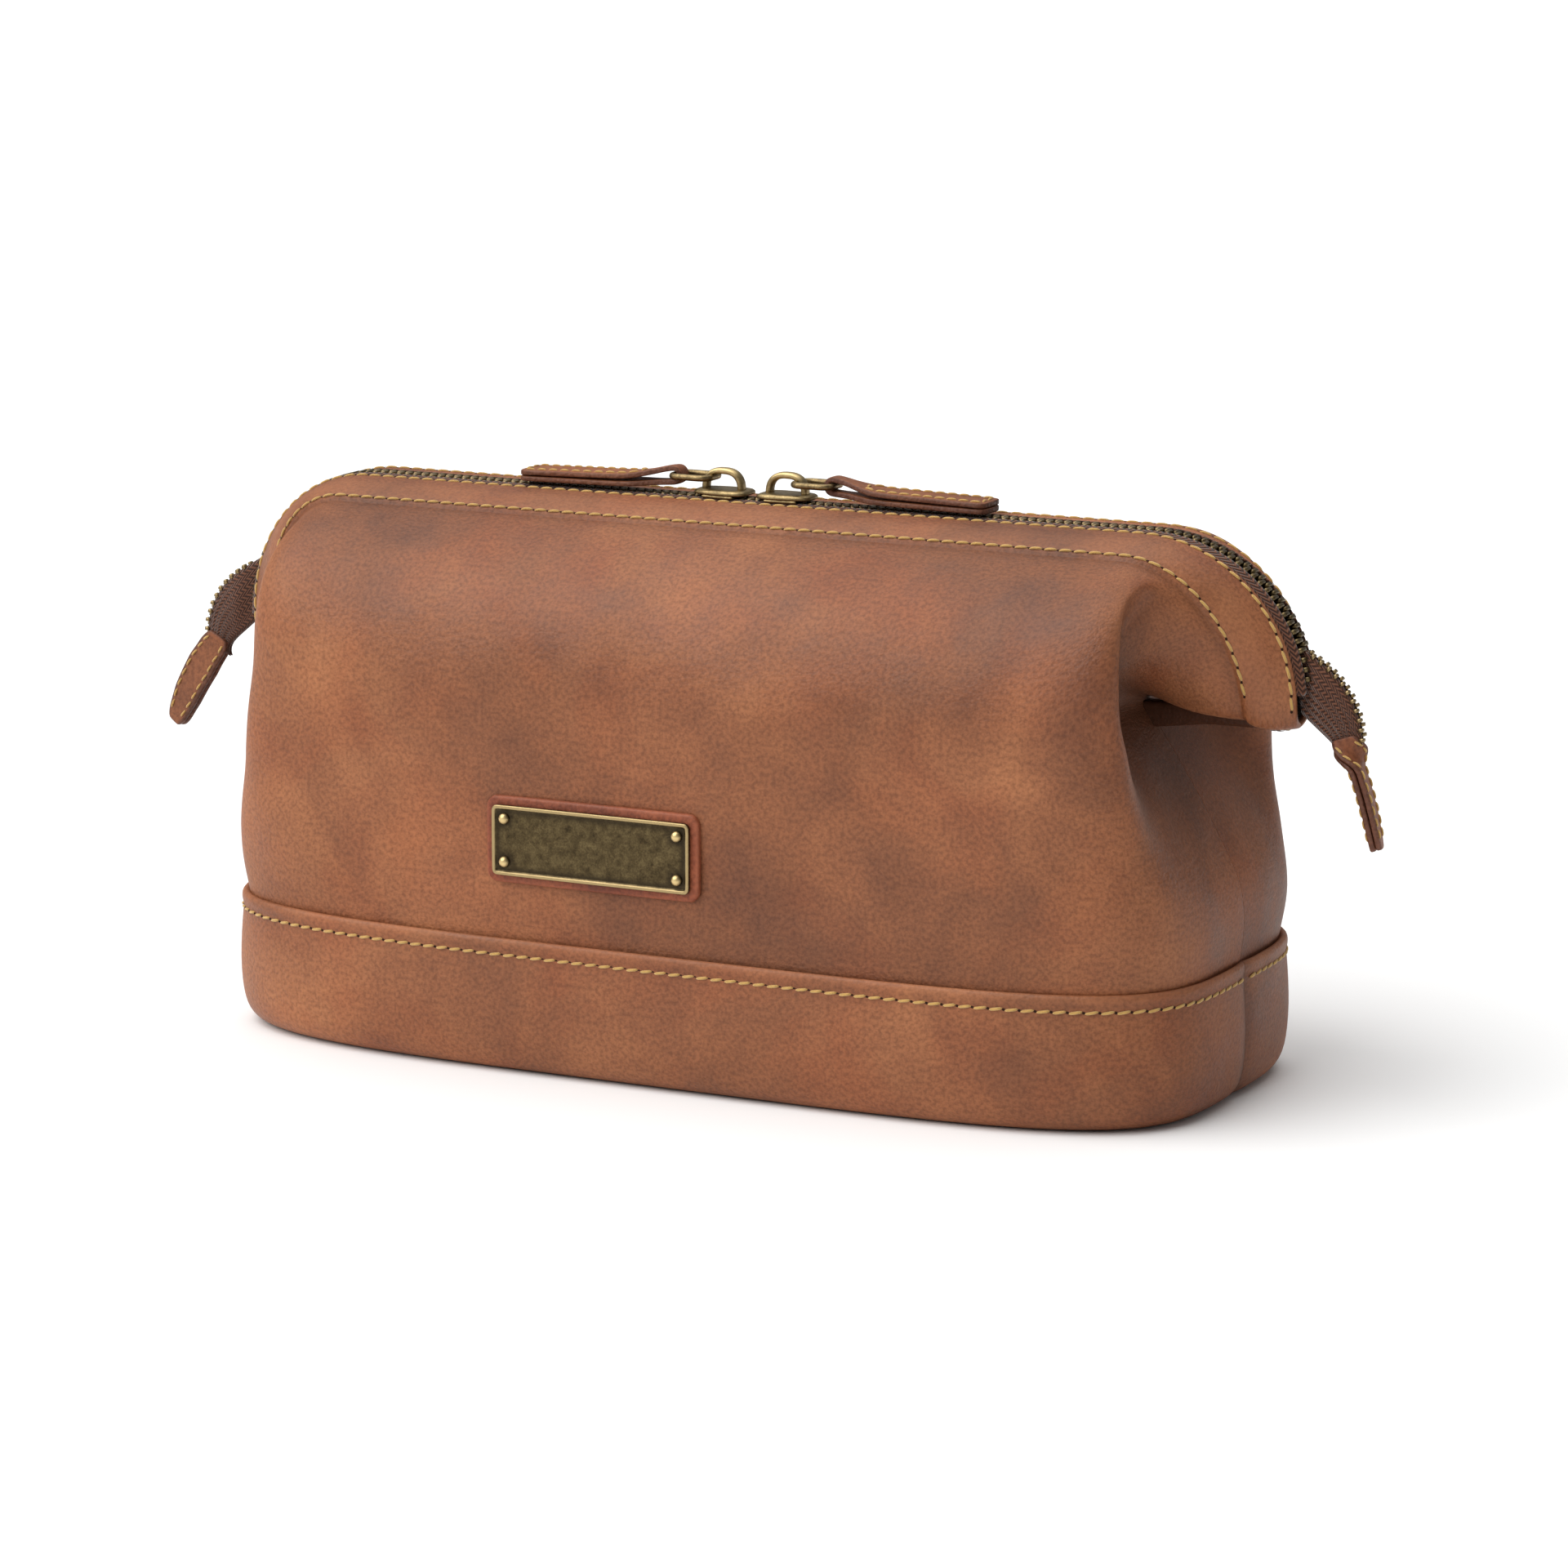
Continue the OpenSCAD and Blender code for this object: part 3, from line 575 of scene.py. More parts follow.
WALL_LEVELS = [BAND_H - 8, 32, 36, 41, 48, 56, 64, 72, 80, 87, 93, PIVOT_Z - 1]
SHOULDER_ROWS = 15
CHANNEL_US = [0.985, 0.955, 0.9, 0.78, 0.6, 0.42, 0.28, 0.2, 0.17, 0.154]
CHANNEL_LIFT = [0.9, 1.7, 2.2, 2.7, 2.9, 2.7, 2.3, 2.0, 1.6, 0.7]
SEAM_LIFT = 0.75
LEATHER_T = 1.5
half_stations = np.concatenate([
    np.arange(0, FIXED_S, 7.0), np.arange(FIXED_S, S_BEND - 1, 3.3), np.linspace(S_BEND, S_END, 5)])
STATIONS = np.concatenate([-half_stations[:0:-1], half_stations])


def shoulder(s, t_values, foot, below):
    """Leather from the top of the wall, over the shoulder, to the channel's seam, at station s."""
    side = -1 if s < 0 else 1
    a = abs(s)
    up = foot - below
    up = up / np.linalg.norm(up)
    inward = np.array([-side * 0.86, 0.5, 0.0])
    up = up + inward * np.interp(a, [112, 130, 135, 148, 166, S_END], [0, 0.0, 0.75, 0.85, 0.25, 0])
    up = up / np.linalg.norm(up)
    end = mouth(s, 1, SEAM_LIFT)
    out = end - mouth(s, 0.94, SEAM_LIFT)
    out = out / np.linalg.norm(out)
    rise = np.interp(a, [0, 100, 118, 130, 138, 150, S_END], [23, 24, 33, 37, 25, 14, 9])
    reach = np.interp(a, [0, 108, 124, 134, 146, 165, S_END], [21, 20, 16, 12, 14, 20, 20])
    c0, c1 = foot + up * rise, end + out * reach
    t = t_values[:, None]
    return ((1 - t) ** 3 * foot + 3 * (1 - t) ** 2 * t * c0
            + 3 * (1 - t) * t ** 2 * c1 + t ** 3 * end)


def leather_grid():
    """Rows of points, the swing weight of each, where the leather is rubbed, and where shade is
    painted on it.
    """
    rows, swing, wear, shade = [], [], [], []
    n = len(STATIONS)
    for z in WALL_LEVELS:
        rows.append(wall_row(z, WALL_INSET, STATIONS))
        swing.append(np.zeros(n))
        wear.append(np.zeros(n))
        # Painted shade: dark under the band's lap, a faint line just above its top, and deep in the
        # tucked fold at the ends.
        fold = smooth(133, 146, np.abs(STATIONS)) * smooth(PIVOT_Z - 48, PIVOT_Z, z)
        shade.append(np.full(n, 0.55 if z <= BAND_H else 0.0) + 0.12 * (z == 41) + 0.9 * fold)
    foot, below = rows[-1], wall_row(WALL_LEVELS[-1] - 2, WALL_INSET, STATIONS)
    t_values = np.linspace(0, 1, SHOULDER_ROWS + 1)[1:]
    columns = np.array([shoulder(s, t_values, foot[i], below[i]) for i, s in enumerate(STATIONS)])
    for j, t in enumerate(t_values):
        rows.append(columns[:, j])
        swing.append(np.full(n, smooth(0.42, 1.0, t)))
        ridge = np.exp(-((np.abs(STATIONS) - 128) / 5) ** 2) * np.exp(-((t - 0.42) / 0.25) ** 2)
        wear.append(0.3 * ridge)
        # Painted shade in the fold under the wing, and a darker line at the seam with the channel.
        fold = smooth(130, 136, np.abs(STATIONS)) * (1 - smooth(0.35, 0.66, t))
        shade.append(np.maximum(0.9 * fold, 0.35 if j == len(t_values) - 1 else 0.0))
    for u, lift in zip(CHANNEL_US, CHANNEL_LIFT):
        rows.append(np.array([mouth(s, u, lift) for s in STATIONS]))
        swing.append(np.ones(n))
        wear.append(np.full(n, 0.22 if 0.5 < u < 0.95 else 0.0))
        # Painted shade in the grooves at the channel's seam and beside the zip tape.
        shade.append(np.full(n, 0.25 if u > 0.98 or u < 0.16 else 0.0))
    return np.array(rows), np.array(swing), np.array(wear), np.array(shade)


def ripple(p):
    """Slow unevenness of the leather, in millimetres."""
    v = Vector((p[0] / 34, p[1] / 34, p[2] / 30))
    w = Vector((p[0] / 13, p[1] / 13, p[2] / 15 + 4))
    return 0.85 * noise.noise(v) + 0.32 * noise.noise(w)


def build_leather(name, rear):
    rows, swing, wear, shade = leather_grid()
    if rear:
        rows = rows * np.array([1, -1, 1])
    r, c = rows.shape[:2]
    heights = np.cumsum(np.concatenate([[0], np.linalg.norm(np.diff(rows[:, c // 2], axis=0),
                                                            axis=1)]))
    uv = np.stack(np.meshgrid(STATIONS + (700 if rear else 0), heights), -1).reshape(-1, 2) * MM
    piece = add_mesh(name, rows.reshape(-1, 3), grid_faces(r, c, flip=rear), [hide, lining_cloth],
                     uv)
    for key, values in (("swing", swing), ("wear", wear), ("shade", shade)):
        set_attribute(piece, key, values.ravel())
    subdivide(piece, 2)
    apply_modifiers(piece)
    co = coordinates(piece)
    normals = np.array([v.normal for v in piece.data.vertices])
    free = 1 - get_attribute(piece, "swing")
    free = free * smooth(BAND_H, BAND_H + 16, co[:, 2])
    moved = co + normals * (np.array([ripple(p) for p in co]) * free - 0.35 * free)[:, None]
    piece.data.vertices.foreach_set("co", (moved * MM).astype(np.float32).ravel())
    solid = piece.modifiers.new("thickness", "SOLIDIFY")
    solid.thickness = LEATHER_T * MM
    solid.offset = -1
    solid.material_offset = 1
    solid.material_offset_rim = 0
    apply_modifiers(piece)
    return piece


def attach_leather(piece, half, *nodes):
    swing = get_attribute(piece, "swing")
    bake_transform(piece)
    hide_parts(*nodes)


for side_name, rear in (("front", False), ("rear", True)):
    skin = build_leather(f"{side_name}_leather", rear)
    attach_leather(skin, f"{side_name}_half", f"{side_name}_panel", f"{side_name}_shoulder",
                   f"{side_name}_mouth_strip")


# ---- Channel stitching: one row at the seam, one close to the zip ----

def channel_frames(u, lift, s_max, rear):
    frames = []
    for s in np.arange(-s_max, s_max + 0.1, 1.0):
        p, d, n = mouth_frame(s, u)
        frames.append((p + n * lift, d, n))
    if rear:
        frames = [(mirror_y(p), mirror_y(d), mirror_y(n)) for p, d, n in frames]
    return frames


for side_name, rear in (("front", False), ("rear", True)):
    build, hole_shades = Build(), Build()
    stitch_row(build, hole_shades, channel_frames(0.93, 1.95, S_BEND - 4, rear))
    stitch_row(build, hole_shades, channel_frames(0.25, 2.15, S_BEND + 1, rear))
    stitches = build.piece(f"{side_name}_channel_stitching", [thread])
    fix_normals(stitches)
    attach(stitches, f"{side_name}_half")
    hole_shade_discs = hole_shades.piece(f"{side_name}_channel_needle_hole_shades", [needle_hole_shade])
    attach(hole_shade_discs, f"{side_name}_half")


# ---- Base band ----

BAND_PROFILE = [
    (11.0, 0.15), (7.5, 0.1), (5.2, 0.5), (3.2, 1.7), (1.7, 3.8), (0.8, 6.8), (0.25, 11), (0.0, 17),
    (0.25, 24), (0.7, 30), (0.95, 32.2), (0.55, 33.4), (0.5, 34.6), (0.75, 35.5), (1.3, 36.0),
                (2.1, 35.9),
    (2.8, 35.2), (3.0, 33), (2.9, 28), (2.6, 18), (3.6, 8), (6.0, 3.2), (10.5, 1.9),
]


def plan_loop(inset, z, gap=0.06, count=61):
    """Right to left round the front at one inset, without the tucks."""
    t = np.linspace(0, -math.pi, count)
    n = BAND_POWER
    q = (np.abs(np.cos(t)) ** n + np.abs(np.sin(t)) ** n) ** (1 / n)
    x = (HALF_L - inset) * np.cos(t) / q
    y = np.minimum((HALF_D - inset) * np.sin(t) / q, -gap)
    return np.stack([x, y, np.full(count, float(z))], 1)


def even_loop(inset, z, count=97):
    loop = plan_loop(inset, z, count=721)
    arc = np.concatenate([[0], np.cumsum(np.linalg.norm(np.diff(loop, axis=0), axis=1))])
    at = np.linspace(0, arc[-1], count)
    return np.stack([np.interp(at, arc, loop[:, k]) for k in range(3)], 1), at


def build_band(name, rear):
    rows, uv = [], []
    height = 0
    last = None
    for inset, z in BAND_PROFILE:
        z = z * BAND_H / 36
        loop, at = even_loop(inset, z)
        seam = np.exp(-np.minimum(at, at[-1] - at) / 1.6)
        loop[:, 0] -= np.sign(loop[:, 0]) * 0.9 * seam
        if last is not None:
            height += math.dist(last, (inset, z))
        last = (inset, z)
        rows.append(loop)
        uv.append(np.stack([at - at[-1] / 2 + (1400 if rear else 350), np.full(len(at), height)],
                           1))
    rows, uv = np.array(rows), np.array(uv)
    if rear:
        rows = rows * np.array([1, -1, 1])
    r, c = rows.shape[:2]
    piece = add_mesh(name, rows.reshape(-1, 3), grid_faces(r, c, flip=not rear), [hide],
                     uv.reshape(-1, 2) * MM)
    top = np.array([np.full(c, {13: 0.75, 14: 0.9, 12: 0.35}.get(i, 0.0)) for i in range(r)])
    # Painted shade: darker on the tucked-under foot, in the groove of the stitch line, on the inner
    # face of the rolled top and where the halves meet at the ends.
    low = np.array([np.full(c, {0: 0.5, 1: 0.4, 10: 0.12, 16: 0.6}.get(i, 0.0)) for i in range(r)])
    low = np.maximum(low, 0.45 * np.exp(-np.minimum(np.arange(c), c - 1 - np.arange(c)) / 0.5)[None,
                                                                                               :])
    set_attribute(piece, "wear", top.ravel() * 0.5)
    set_attribute(piece, "shade", low.ravel())
    subdivide(piece, 1)
    apply_modifiers(piece)
    return piece


for side_name, rear in (("front", False), ("rear", True)):
    band = build_band(f"{side_name}_band", rear)
    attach(band, "root")
    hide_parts(f"{side_name}_base_band")
    build, hole_shades = Build(), Build()
    loop, at = even_loop(0.9, BAND_H - 4.3, 361)
    if rear:
        loop = mirror_y(loop)
    frames = []
    for i in range(2, len(loop) - 2):
        d = loop[i + 1] - loop[i - 1]
        d = d / np.linalg.norm(d)
        n = np.cross([0, 0, 1], d) * (-1 if rear else 1)
        n = n if n[1] * (1 if rear else -1) >= -0.2 else -n
        frames.append((loop[i], d, n))
    stitch_row(build, hole_shades, frames, slant=0.16)
    stitches = build.piece(f"{side_name}_band_stitching", [thread])
    fix_normals(stitches)
    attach(stitches, "root")
    hole_shade_discs = hole_shades.piece(f"{side_name}_band_needle_hole_shades", [needle_hole_shade])
    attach(hole_shade_discs, "root")


# ---- Base: leather bottom, lining and pocket ----

def full_loop(inset, z, count=96):
    t = np.linspace(0, 2 * math.pi, count + 1)[:-1]
    n = BAND_POWER
    q = (np.abs(np.cos(t)) ** n + np.abs(np.sin(t)) ** n) ** (1 / n)
    return np.stack([(HALF_L - inset) * np.cos(t) / q, (HALF_D - inset) * np.sin(t) / q,
                     np.full(count, float(z))], 1)


def disc_rings(inset, z, shares):
    return [full_loop(inset, z) * [k, k, 1] for k in shares]


bottom = Build()
bottom_rings = disc_rings(8.2, 0.35, [0.02, 0.3, 0.6, 0.85, 0.97]) + [
    full_loop(7.6, 0.7), full_loop(7.5, 1.2), full_loop(8.0, 1.7)] + disc_rings(9, 1.8,
                                                                                [0.97, 0.6, 0.02])
bottom.loft(bottom_rings)
bottom_piece = bottom.piece("bottom_leather", [hide_solid])
fix_normals(bottom_piece)
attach(bottom_piece, "root")
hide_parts("bottom_panel")

floor_low, floor_high = box_mm("base_lining")
cloth = Build()
cloth_rings = []
for k in [0.01, 0.1, 0.2, 0.3, 0.4, 0.5, 0.6, 0.7, 0.8, 0.88, 0.94, 0.98, 1.0]:
    ring = full_loop(HALF_L - floor_high[0], floor_high[2] + 0.1) * [k, k, 1]
    for p in ring:
        p[2] += 0.35 * noise.noise(Vector((p[0] / 22, p[1] / 22, 3.3)))
    cloth_rings.append(ring)
cloth_rings.append(full_loop(HALF_L - floor_high[0], floor_low[2]))
cloth_rings += disc_rings(HALF_L - floor_high[0] + 1, floor_low[2], [0.9, 0.5, 0.01])
cloth.loft(cloth_rings)
cloth_piece = cloth.piece("base_lining_cloth", [lining_cloth])
cloth_piece.data.uv_layers[0].data.foreach_set("uv", np.array(
    [(cloth_piece.data.vertices[l.vertex_index].co.x,
      cloth_piece.data.vertices[l.vertex_index].co.y)
     for l in cloth_piece.data.loops]).ravel())
fix_normals(cloth_piece)
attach(cloth_piece, "root")
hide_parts("base_lining")

LINING_INSET = WALL_INSET + 2.1


def build_lining(name, rear):
    """Cotton lining from the base to the fold of the shoulder, a little loose between its seams."""
    levels = [floor_high[2] + 0.2, 8, 14, 22, 32, 44, 56, 68, 80, 90, 96]
    rows = []
    for z in levels:
        extra = 3.0 * smooth(22, 5, z)
        row = wall_row(z, LINING_INSET + extra + 0.2, STATIONS, tucked=z > 40)
        for p in row:
            p[1] += 0.7 * (noise.noise(Vector((p[0] / 16, p[2] / 40, 7.7))) + 0.6)
        row[:, 1] = np.minimum(row[:, 1], -0.06)
        rows.append(row)
    rows = np.array(rows)
    if rear:
        rows = rows * np.array([1, -1, 1])
    r, c = rows.shape[:2]
    uv = np.stack(np.meshgrid(STATIONS, levels), -1).reshape(-1, 2) * MM
    piece = add_mesh(name, rows.reshape(-1, 3), grid_faces(r, c, flip=rear), [lining_cloth], uv)
    subdivide(piece, 1)
    solid = piece.modifiers.new("thickness", "SOLIDIFY")
    solid.thickness = 0.6 * MM
    solid.offset = -1
    apply_modifiers(piece)
    return piece


for side_name, rear in (("front", False), ("rear", True)):
    piece = build_lining(f"{side_name}_lining_cloth", rear)
    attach(piece, "root")
    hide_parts(f"{side_name}_lining")

pocket_low, pocket_high = box_mm("inner_pocket")
pocket = Build()
pocket_rings = []
for z in np.linspace(pocket_low[2], pocket_high[2], 13):
    k = (z - pocket_low[2]) / (pocket_high[2] - pocket_low[2])
    hem = 0.9 if k > 0.86 else 0.0
    xs = np.linspace(pocket_low[0], pocket_high[0], 41)
    bow = 1.5 * math.sin(math.pi * min(k * 0.7, 0.5)) * (1 - (xs / pocket_high[0]) ** 4) * k
    front = np.stack([xs, pocket_low[1] - bow - hem * 0.5, np.full(41, z)], 1)
    back = np.stack([xs[::-1], pocket_low[1] - bow[::-1] + 0.8 + hem * 0.3, np.full(41, z)], 1)
    pocket_rings.append(np.concatenate([front, back]))
pocket.loft(pocket_rings)
pocket_piece = pocket.piece("inner_pocket_cloth", [lining_cloth])
pocket_piece.data.uv_layers[0].data.foreach_set("uv", np.array(
    [(pocket_piece.data.vertices[l.vertex_index].co.x,
      pocket_piece.data.vertices[l.vertex_index].co.z)
     for l in pocket_piece.data.loops]).ravel())
fix_normals(pocket_piece)
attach(pocket_piece, "root")
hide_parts("inner_pocket")


# ---- Inner facing of the channel, round the wire ----

def build_facing(name, rear):
    us = [0.97, 0.9, 0.8, 0.68, 0.55, 0.42, 0.3, 0.24]
    drops = [0.3, 1.6, 3.6, 4.8, 5.0, 4.6, 2.6, 1.0]
    stations = np.arange(-(S_BEND - 22), S_BEND - 21.9, 4.0)
    rows = np.array([[mouth(s, u, -d) for s in stations] for u, d in zip(us, drops)])
    if rear:
        rows = rows * np.array([1, -1, 1])
    r, c = rows.shape[:2]
    uv = np.stack(np.meshgrid(stations, np.array(us) * MOUTH_FAR), -1).reshape(-1, 2) * MM
    piece = add_mesh(name, rows.reshape(-1, 3), grid_faces(r, c, flip=rear), [lining_cloth], uv)
    subdivide(piece, 1)
    solid = piece.modifiers.new("thickness", "SOLIDIFY")
    solid.thickness = 0.8 * MM
    solid.offset = 1
    apply_modifiers(piece)
    return piece


for side_name, rear in (("front", False), ("rear", True)):
    piece = build_facing(f"{side_name}_wire_sleeve", rear)
    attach(piece, f"{side_name}_half")
    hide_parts(f"{side_name}_facing")


# ---- Zip: woven tapes and interlocked teeth ----

def build_tape(name, rear):
    stations = np.concatenate([np.arange(-(S_BEND - 1), S_BEND - 0.9, 3.0)])
    us = [0.03, 0.05, 0.1, 0.17, 0.25, 0.33]
    lifts = [0.5, 0.7, 0.42, 0.4, 0.4, 0.3]
    rows = np.array([[mouth(s, u, v) for s in stations] for u, v in zip(us, lifts)])
    if rear:
        rows = rows * np.array([1, -1, 1])
    r, c = rows.shape[:2]
    uv = np.stack(np.meshgrid(stations, np.array(us) * MOUTH_FAR), -1).reshape(-1, 2) * MM
    piece = add_mesh(name, rows.reshape(-1, 3), grid_faces(r, c, flip=not rear), [tape_weave], uv)
    subdivide(piece, 1)
    solid = piece.modifiers.new("thickness", "SOLIDIFY")
    solid.thickness = 0.7 * MM
    solid.offset = 1
    apply_modifiers(piece)
    return piece


def tooth_shape():
    """One cast tooth: two legs on the tape, a narrowed neck and a rounded nose."""
    outline = np.array([(-0.62, 0.0), (-0.62, 0.9), (-0.5, 1.5), (-0.62, 2.1), (-0.55, 2.9),
                        (-0.3, 3.25),
                        (0.3, 3.25), (0.55, 2.9), (0.62, 2.1), (0.5, 1.5), (0.62, 0.9),
                        (0.62, 0.0)])
    rings = []
    for z, k in ((-1.25, 0.7), (-1.05, 0.95), (0, 1.0), (1.05, 0.95), (1.25, 0.7)):
        ring = np.zeros((len(outline), 3))
        ring[:, 0] = outline[:, 0] * k
        ring[:, 1] = 1.6 + (outline[:, 1] - 1.6) * (k * 0.5 + 0.5)
        ring[:, 2] = z
        rings.append(ring)
    return rings


TOOTH_PITCH = 2.5
TOOTH_ROOT_Y = -2.75


def build_teeth(name, rear, first):
    build = Build()
    rings = tooth_shape()
    for s in np.arange(-(S_BEND - 6) + first, S_BEND - 6, TOOTH_PITCH):
        p, d, _ = mouth_frame(s, 0)
        d = d / np.linalg.norm(d)
        up = np.cross(np.array([0, 1.0, 0]), d) * -1
        up = up / np.linalg.norm(up)
        centre = np.array([p[0], TOOTH_ROOT_Y, p[2]])
        placed = [centre + r[:, :1] * d + r[:, 1:2] * np.array([0, 1.0, 0])
                  + r[:, 2:] * up for r in rings]
        if rear:
            placed = [mirror_y(q) for q in placed]
        build.loft(placed)
    piece = build.piece(name, [zip_brass])
    fix_normals(piece)
    co = coordinates(piece)
    set_attribute(piece, "wear", smooth(0.9, 1.25, co[:, 2] - BAG_H) * 0.45)
    return piece


for side_name, rear in (("front", False), ("rear", True)):
    piece = build_tape(f"{side_name}_woven_tape", rear)
    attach(piece, f"{side_name}_half")
    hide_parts(f"{side_name}_zip_tape")
    piece = build_teeth(f"{side_name}_teeth", rear, TOOTH_PITCH / 2 if rear else 0)
    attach(piece, f"{side_name}_half")
    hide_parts(f"{side_name}_zip_teeth")


# ---- Sliders ----

SLIDER_X = box_mm("right_slider")[0][0]
SLIDER_L = box_mm("right_slider")[1][0] - SLIDER_X
SLIDER_TOP = BAG_H + 1.8
SLIDER_LOW = BAG_H - 1.8


def slider_outline(grow=0.0):
    half = [(0.0, 3.3), (0.6, 4.2), (2.4, 5.0), (6.0, 5.2), (10.0, 4.9), (13.0, 4.3), (14.8, 3.6),
            (SLIDER_L, 2.6)]
    upper = [(x, w) for x, w in half]
    lower = [(x, -w) for x, w in reversed(half)]
    pts = np.array(upper + lower)
    centre = np.array([SLIDER_L / 2, 0])
    pts = centre + (pts - centre) * (1 + grow)
    return pts


def plate_rings(levels):
    rings = []
    for z, grow in levels:
        o = slider_outline(grow)
        rings.append(np.stack([SLIDER_X + o[:, 0], o[:, 1], np.full(len(o), z)], 1))
    return rings


def sweep(path, normals, sides, outline):
    """Rings of a flat section carried along a path: outline gives (side, normal) offsets."""
    return [p + outline[:, :1] * b + outline[:, 1:] * n for p, n, b in zip(path, normals, sides)]


def slider_shape(flip):
    build = Build()
    z0 = SLIDER_TOP
    build.loft(plate_rings([(z0 - 0.15, -0.09), (z0, -0.02), (z0 + 0.35, 0.0), (z0 + 0.9, -0.02),
                            (z0 + 1.25, -0.09), (z0 + 1.4, -0.2)]))
    z1 = SLIDER_LOW
    build.loft(plate_rings([(z1 - 1.2, -0.15), (z1 - 1.0, -0.05), (z1 - 0.6, -0.02),
                            (z1 - 0.1, -0.03),
                            (z1, -0.09)]))
    for y in (-1, 1):
        for z, h in ((z0 - 1.0, 1.05), (z1 - 0.05, 0.9)):
            if z < BAG_H and y > 0:
                continue
            rings = []
            for x in np.linspace(3.0, 12.2, 7):
                w = np.interp(x, [3.0, 6, 12.2], [4.95, 5.05, 4.55])
                rings.append([(SLIDER_X + x, y * (w + a), z + b)
                              for a, b in ((-0.75, 0), (-0.1, 0.1), (0, 0.5), (-0.05, h),
                                           (-0.8, h))])
            build.loft(rings)
    arch_l, arch_h = SLIDER_L - 3.4, 6.0
    path, normals, sides = [], [], []
    for t in np.linspace(0, math.pi, 27):
        c, q = math.cos(t), math.sin(t)
        k = (abs(c) ** 2.6 + abs(q) ** 2.6) ** (-1 / 2.6)
        path.append(np.array([SLIDER_X + 1.7 + arch_l / 2 - k * c * (arch_l / 2 - 0.9), 0,
                              z0 + 1.0 + k * q * (arch_h - 1.0)]))
    for i in range(len(path)):
        d = path[min(i + 1, len(path) - 1)] - path[max(i - 1, 0)]
        d = d / np.linalg.norm(d)
        normals.append(np.array([-d[2], 0, d[0]]))
        sides.append(np.array([0, 1.0, 0]))
    section = np.array([(1.5 * math.copysign(abs(math.cos(a)) ** 0.6, math.cos(a)),
                         0.9 * math.copysign(abs(math.sin(a)) ** 0.7, math.sin(a)))
                        for a in np.linspace(0, 2 * math.pi, 17)[:-1]])
    build.loft(sweep(path, normals, sides, section))
    if flip:
        build.verts = mirror_x(build.verts).tolist()
    return build


for side_name, flip in (("left", True), ("right", False)):
    piece = slider_shape(flip).piece(f"{side_name}_slider_body", [brass])
    fix_normals(piece)
    subdivide(piece, 1)
    apply_modifiers(piece)
    co = coordinates(piece)
    set_attribute(piece, "wear", np.clip((co[:, 2] - RING_Z - 0.6) / 3, 0, 0.5) + 0.1)
    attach(piece, f"{side_name}_slider")
    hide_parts(f"{side_name}_slider")


# ---- Leather pulls: one strap doubled round the ring's outer bar ----

PULL_END = box_mm("right_pull")[1][0]
PULL_W = box_mm("right_pull")[1][1] * 2
PLY = 1.45
LOOP_MID_R = 2.0


def pull_width(x):
    """Width of the strap at the distance x from the middle of the loop."""
    length = PULL_END - LOOP_X
    w = np.interp(x, [-3, 2.5, 5, 11.5, 20, length], [4.5, 4.5, 5.2, PULL_W - 1.6, PULL_W - 0.9,
                                                      PULL_W])
    corner = 3.0
    over = np.clip((x - (length - corner)) / corner, 0, 1)
    return w - 2 * corner * (1 - np.sqrt(np.clip(1 - over ** 2, 0, 1))) * 0.85


PULL_DRAWN_Z = 144  # height of the zip that the strap's heights below were drawn for


def pull_centre():
    """Middle line of the strap in (x, z): along the lower ply, round the loop and back on top."""
    length = PULL_END - LOOP_X
    low_end, top_end = 146.7, 148.25
    lower = [(length - d, np.interp(length - d, [0, 6, 14, length],
                                    [147.6, 147.6, 147.05, low_end]))
             for d in np.linspace(0, length - 5.5, 34)]
    around = [(LOOP_MID_R * math.cos(t), RING_Z + LOOP_MID_R * math.sin(t))
              for t in np.linspace(math.radians(-65), math.radians(-285), 19)]
    upper = [(d, np.interp(d, [1.5, 4, 8, 13, length], [151.7, 151.0, 149.9, 149.1, top_end]))
             for d in np.linspace(4.0, length - 0.3, 34)]
    lower = [(x, z + (BAG_H - PULL_DRAWN_Z)) for x, z in lower]
    upper = [(x, z + (BAG_H - PULL_DRAWN_Z)) for x, z in upper]
    return lower, around, upper


def pull_shape(flip):
    lower, around, upper = pull_centre()
    pts = np.array(lower + around + upper)
    for _ in range(6):
        pts[1:-1] = pts[1:-1] * 0.5 + (pts[:-2] + pts[2:]) * 0.25
    build = Build()
    rings = []
    for i, (x, z) in enumerate(pts):
        d = pts[min(i + 1, len(pts) - 1)] - pts[max(i - 1, 0)]
        d = d / np.linalg.norm(d)
        n = np.array([-d[1], 0, d[0]])
        w = pull_width(x) / 2
        p = np.array([LOOP_X + x, 0, z])
        ring = []
        for a, b in ((-1, -0.55), (-0.97, -0.9), (-0.8, -1), (0, -1), (0.8, -1), (0.97, -0.9),
                     (1, -0.55),
                     (1, 0.55), (0.97, 0.9), (0.8, 1.0), (0, 1.08), (-0.8, 1.0), (-0.97, 0.9),
                     (-1, 0.55)):
            ring.append(p + np.array([0, a * w, 0]) + n * (b * PLY / 2))
        rings.append(ring)
    build.loft(rings)
    cols = 14
    for i, f in enumerate(build.faces):
        edge = len(f) == 3 or {v % cols for v in f} in ({6, 7}, {13, 0}, {5, 6}, {7, 8}, {12, 13},
                                                        {0, 1})
        build.mats[i] = 1 if edge else 0
    if flip:
        build.verts = mirror_x(build.verts).tolist()
    return build, pts


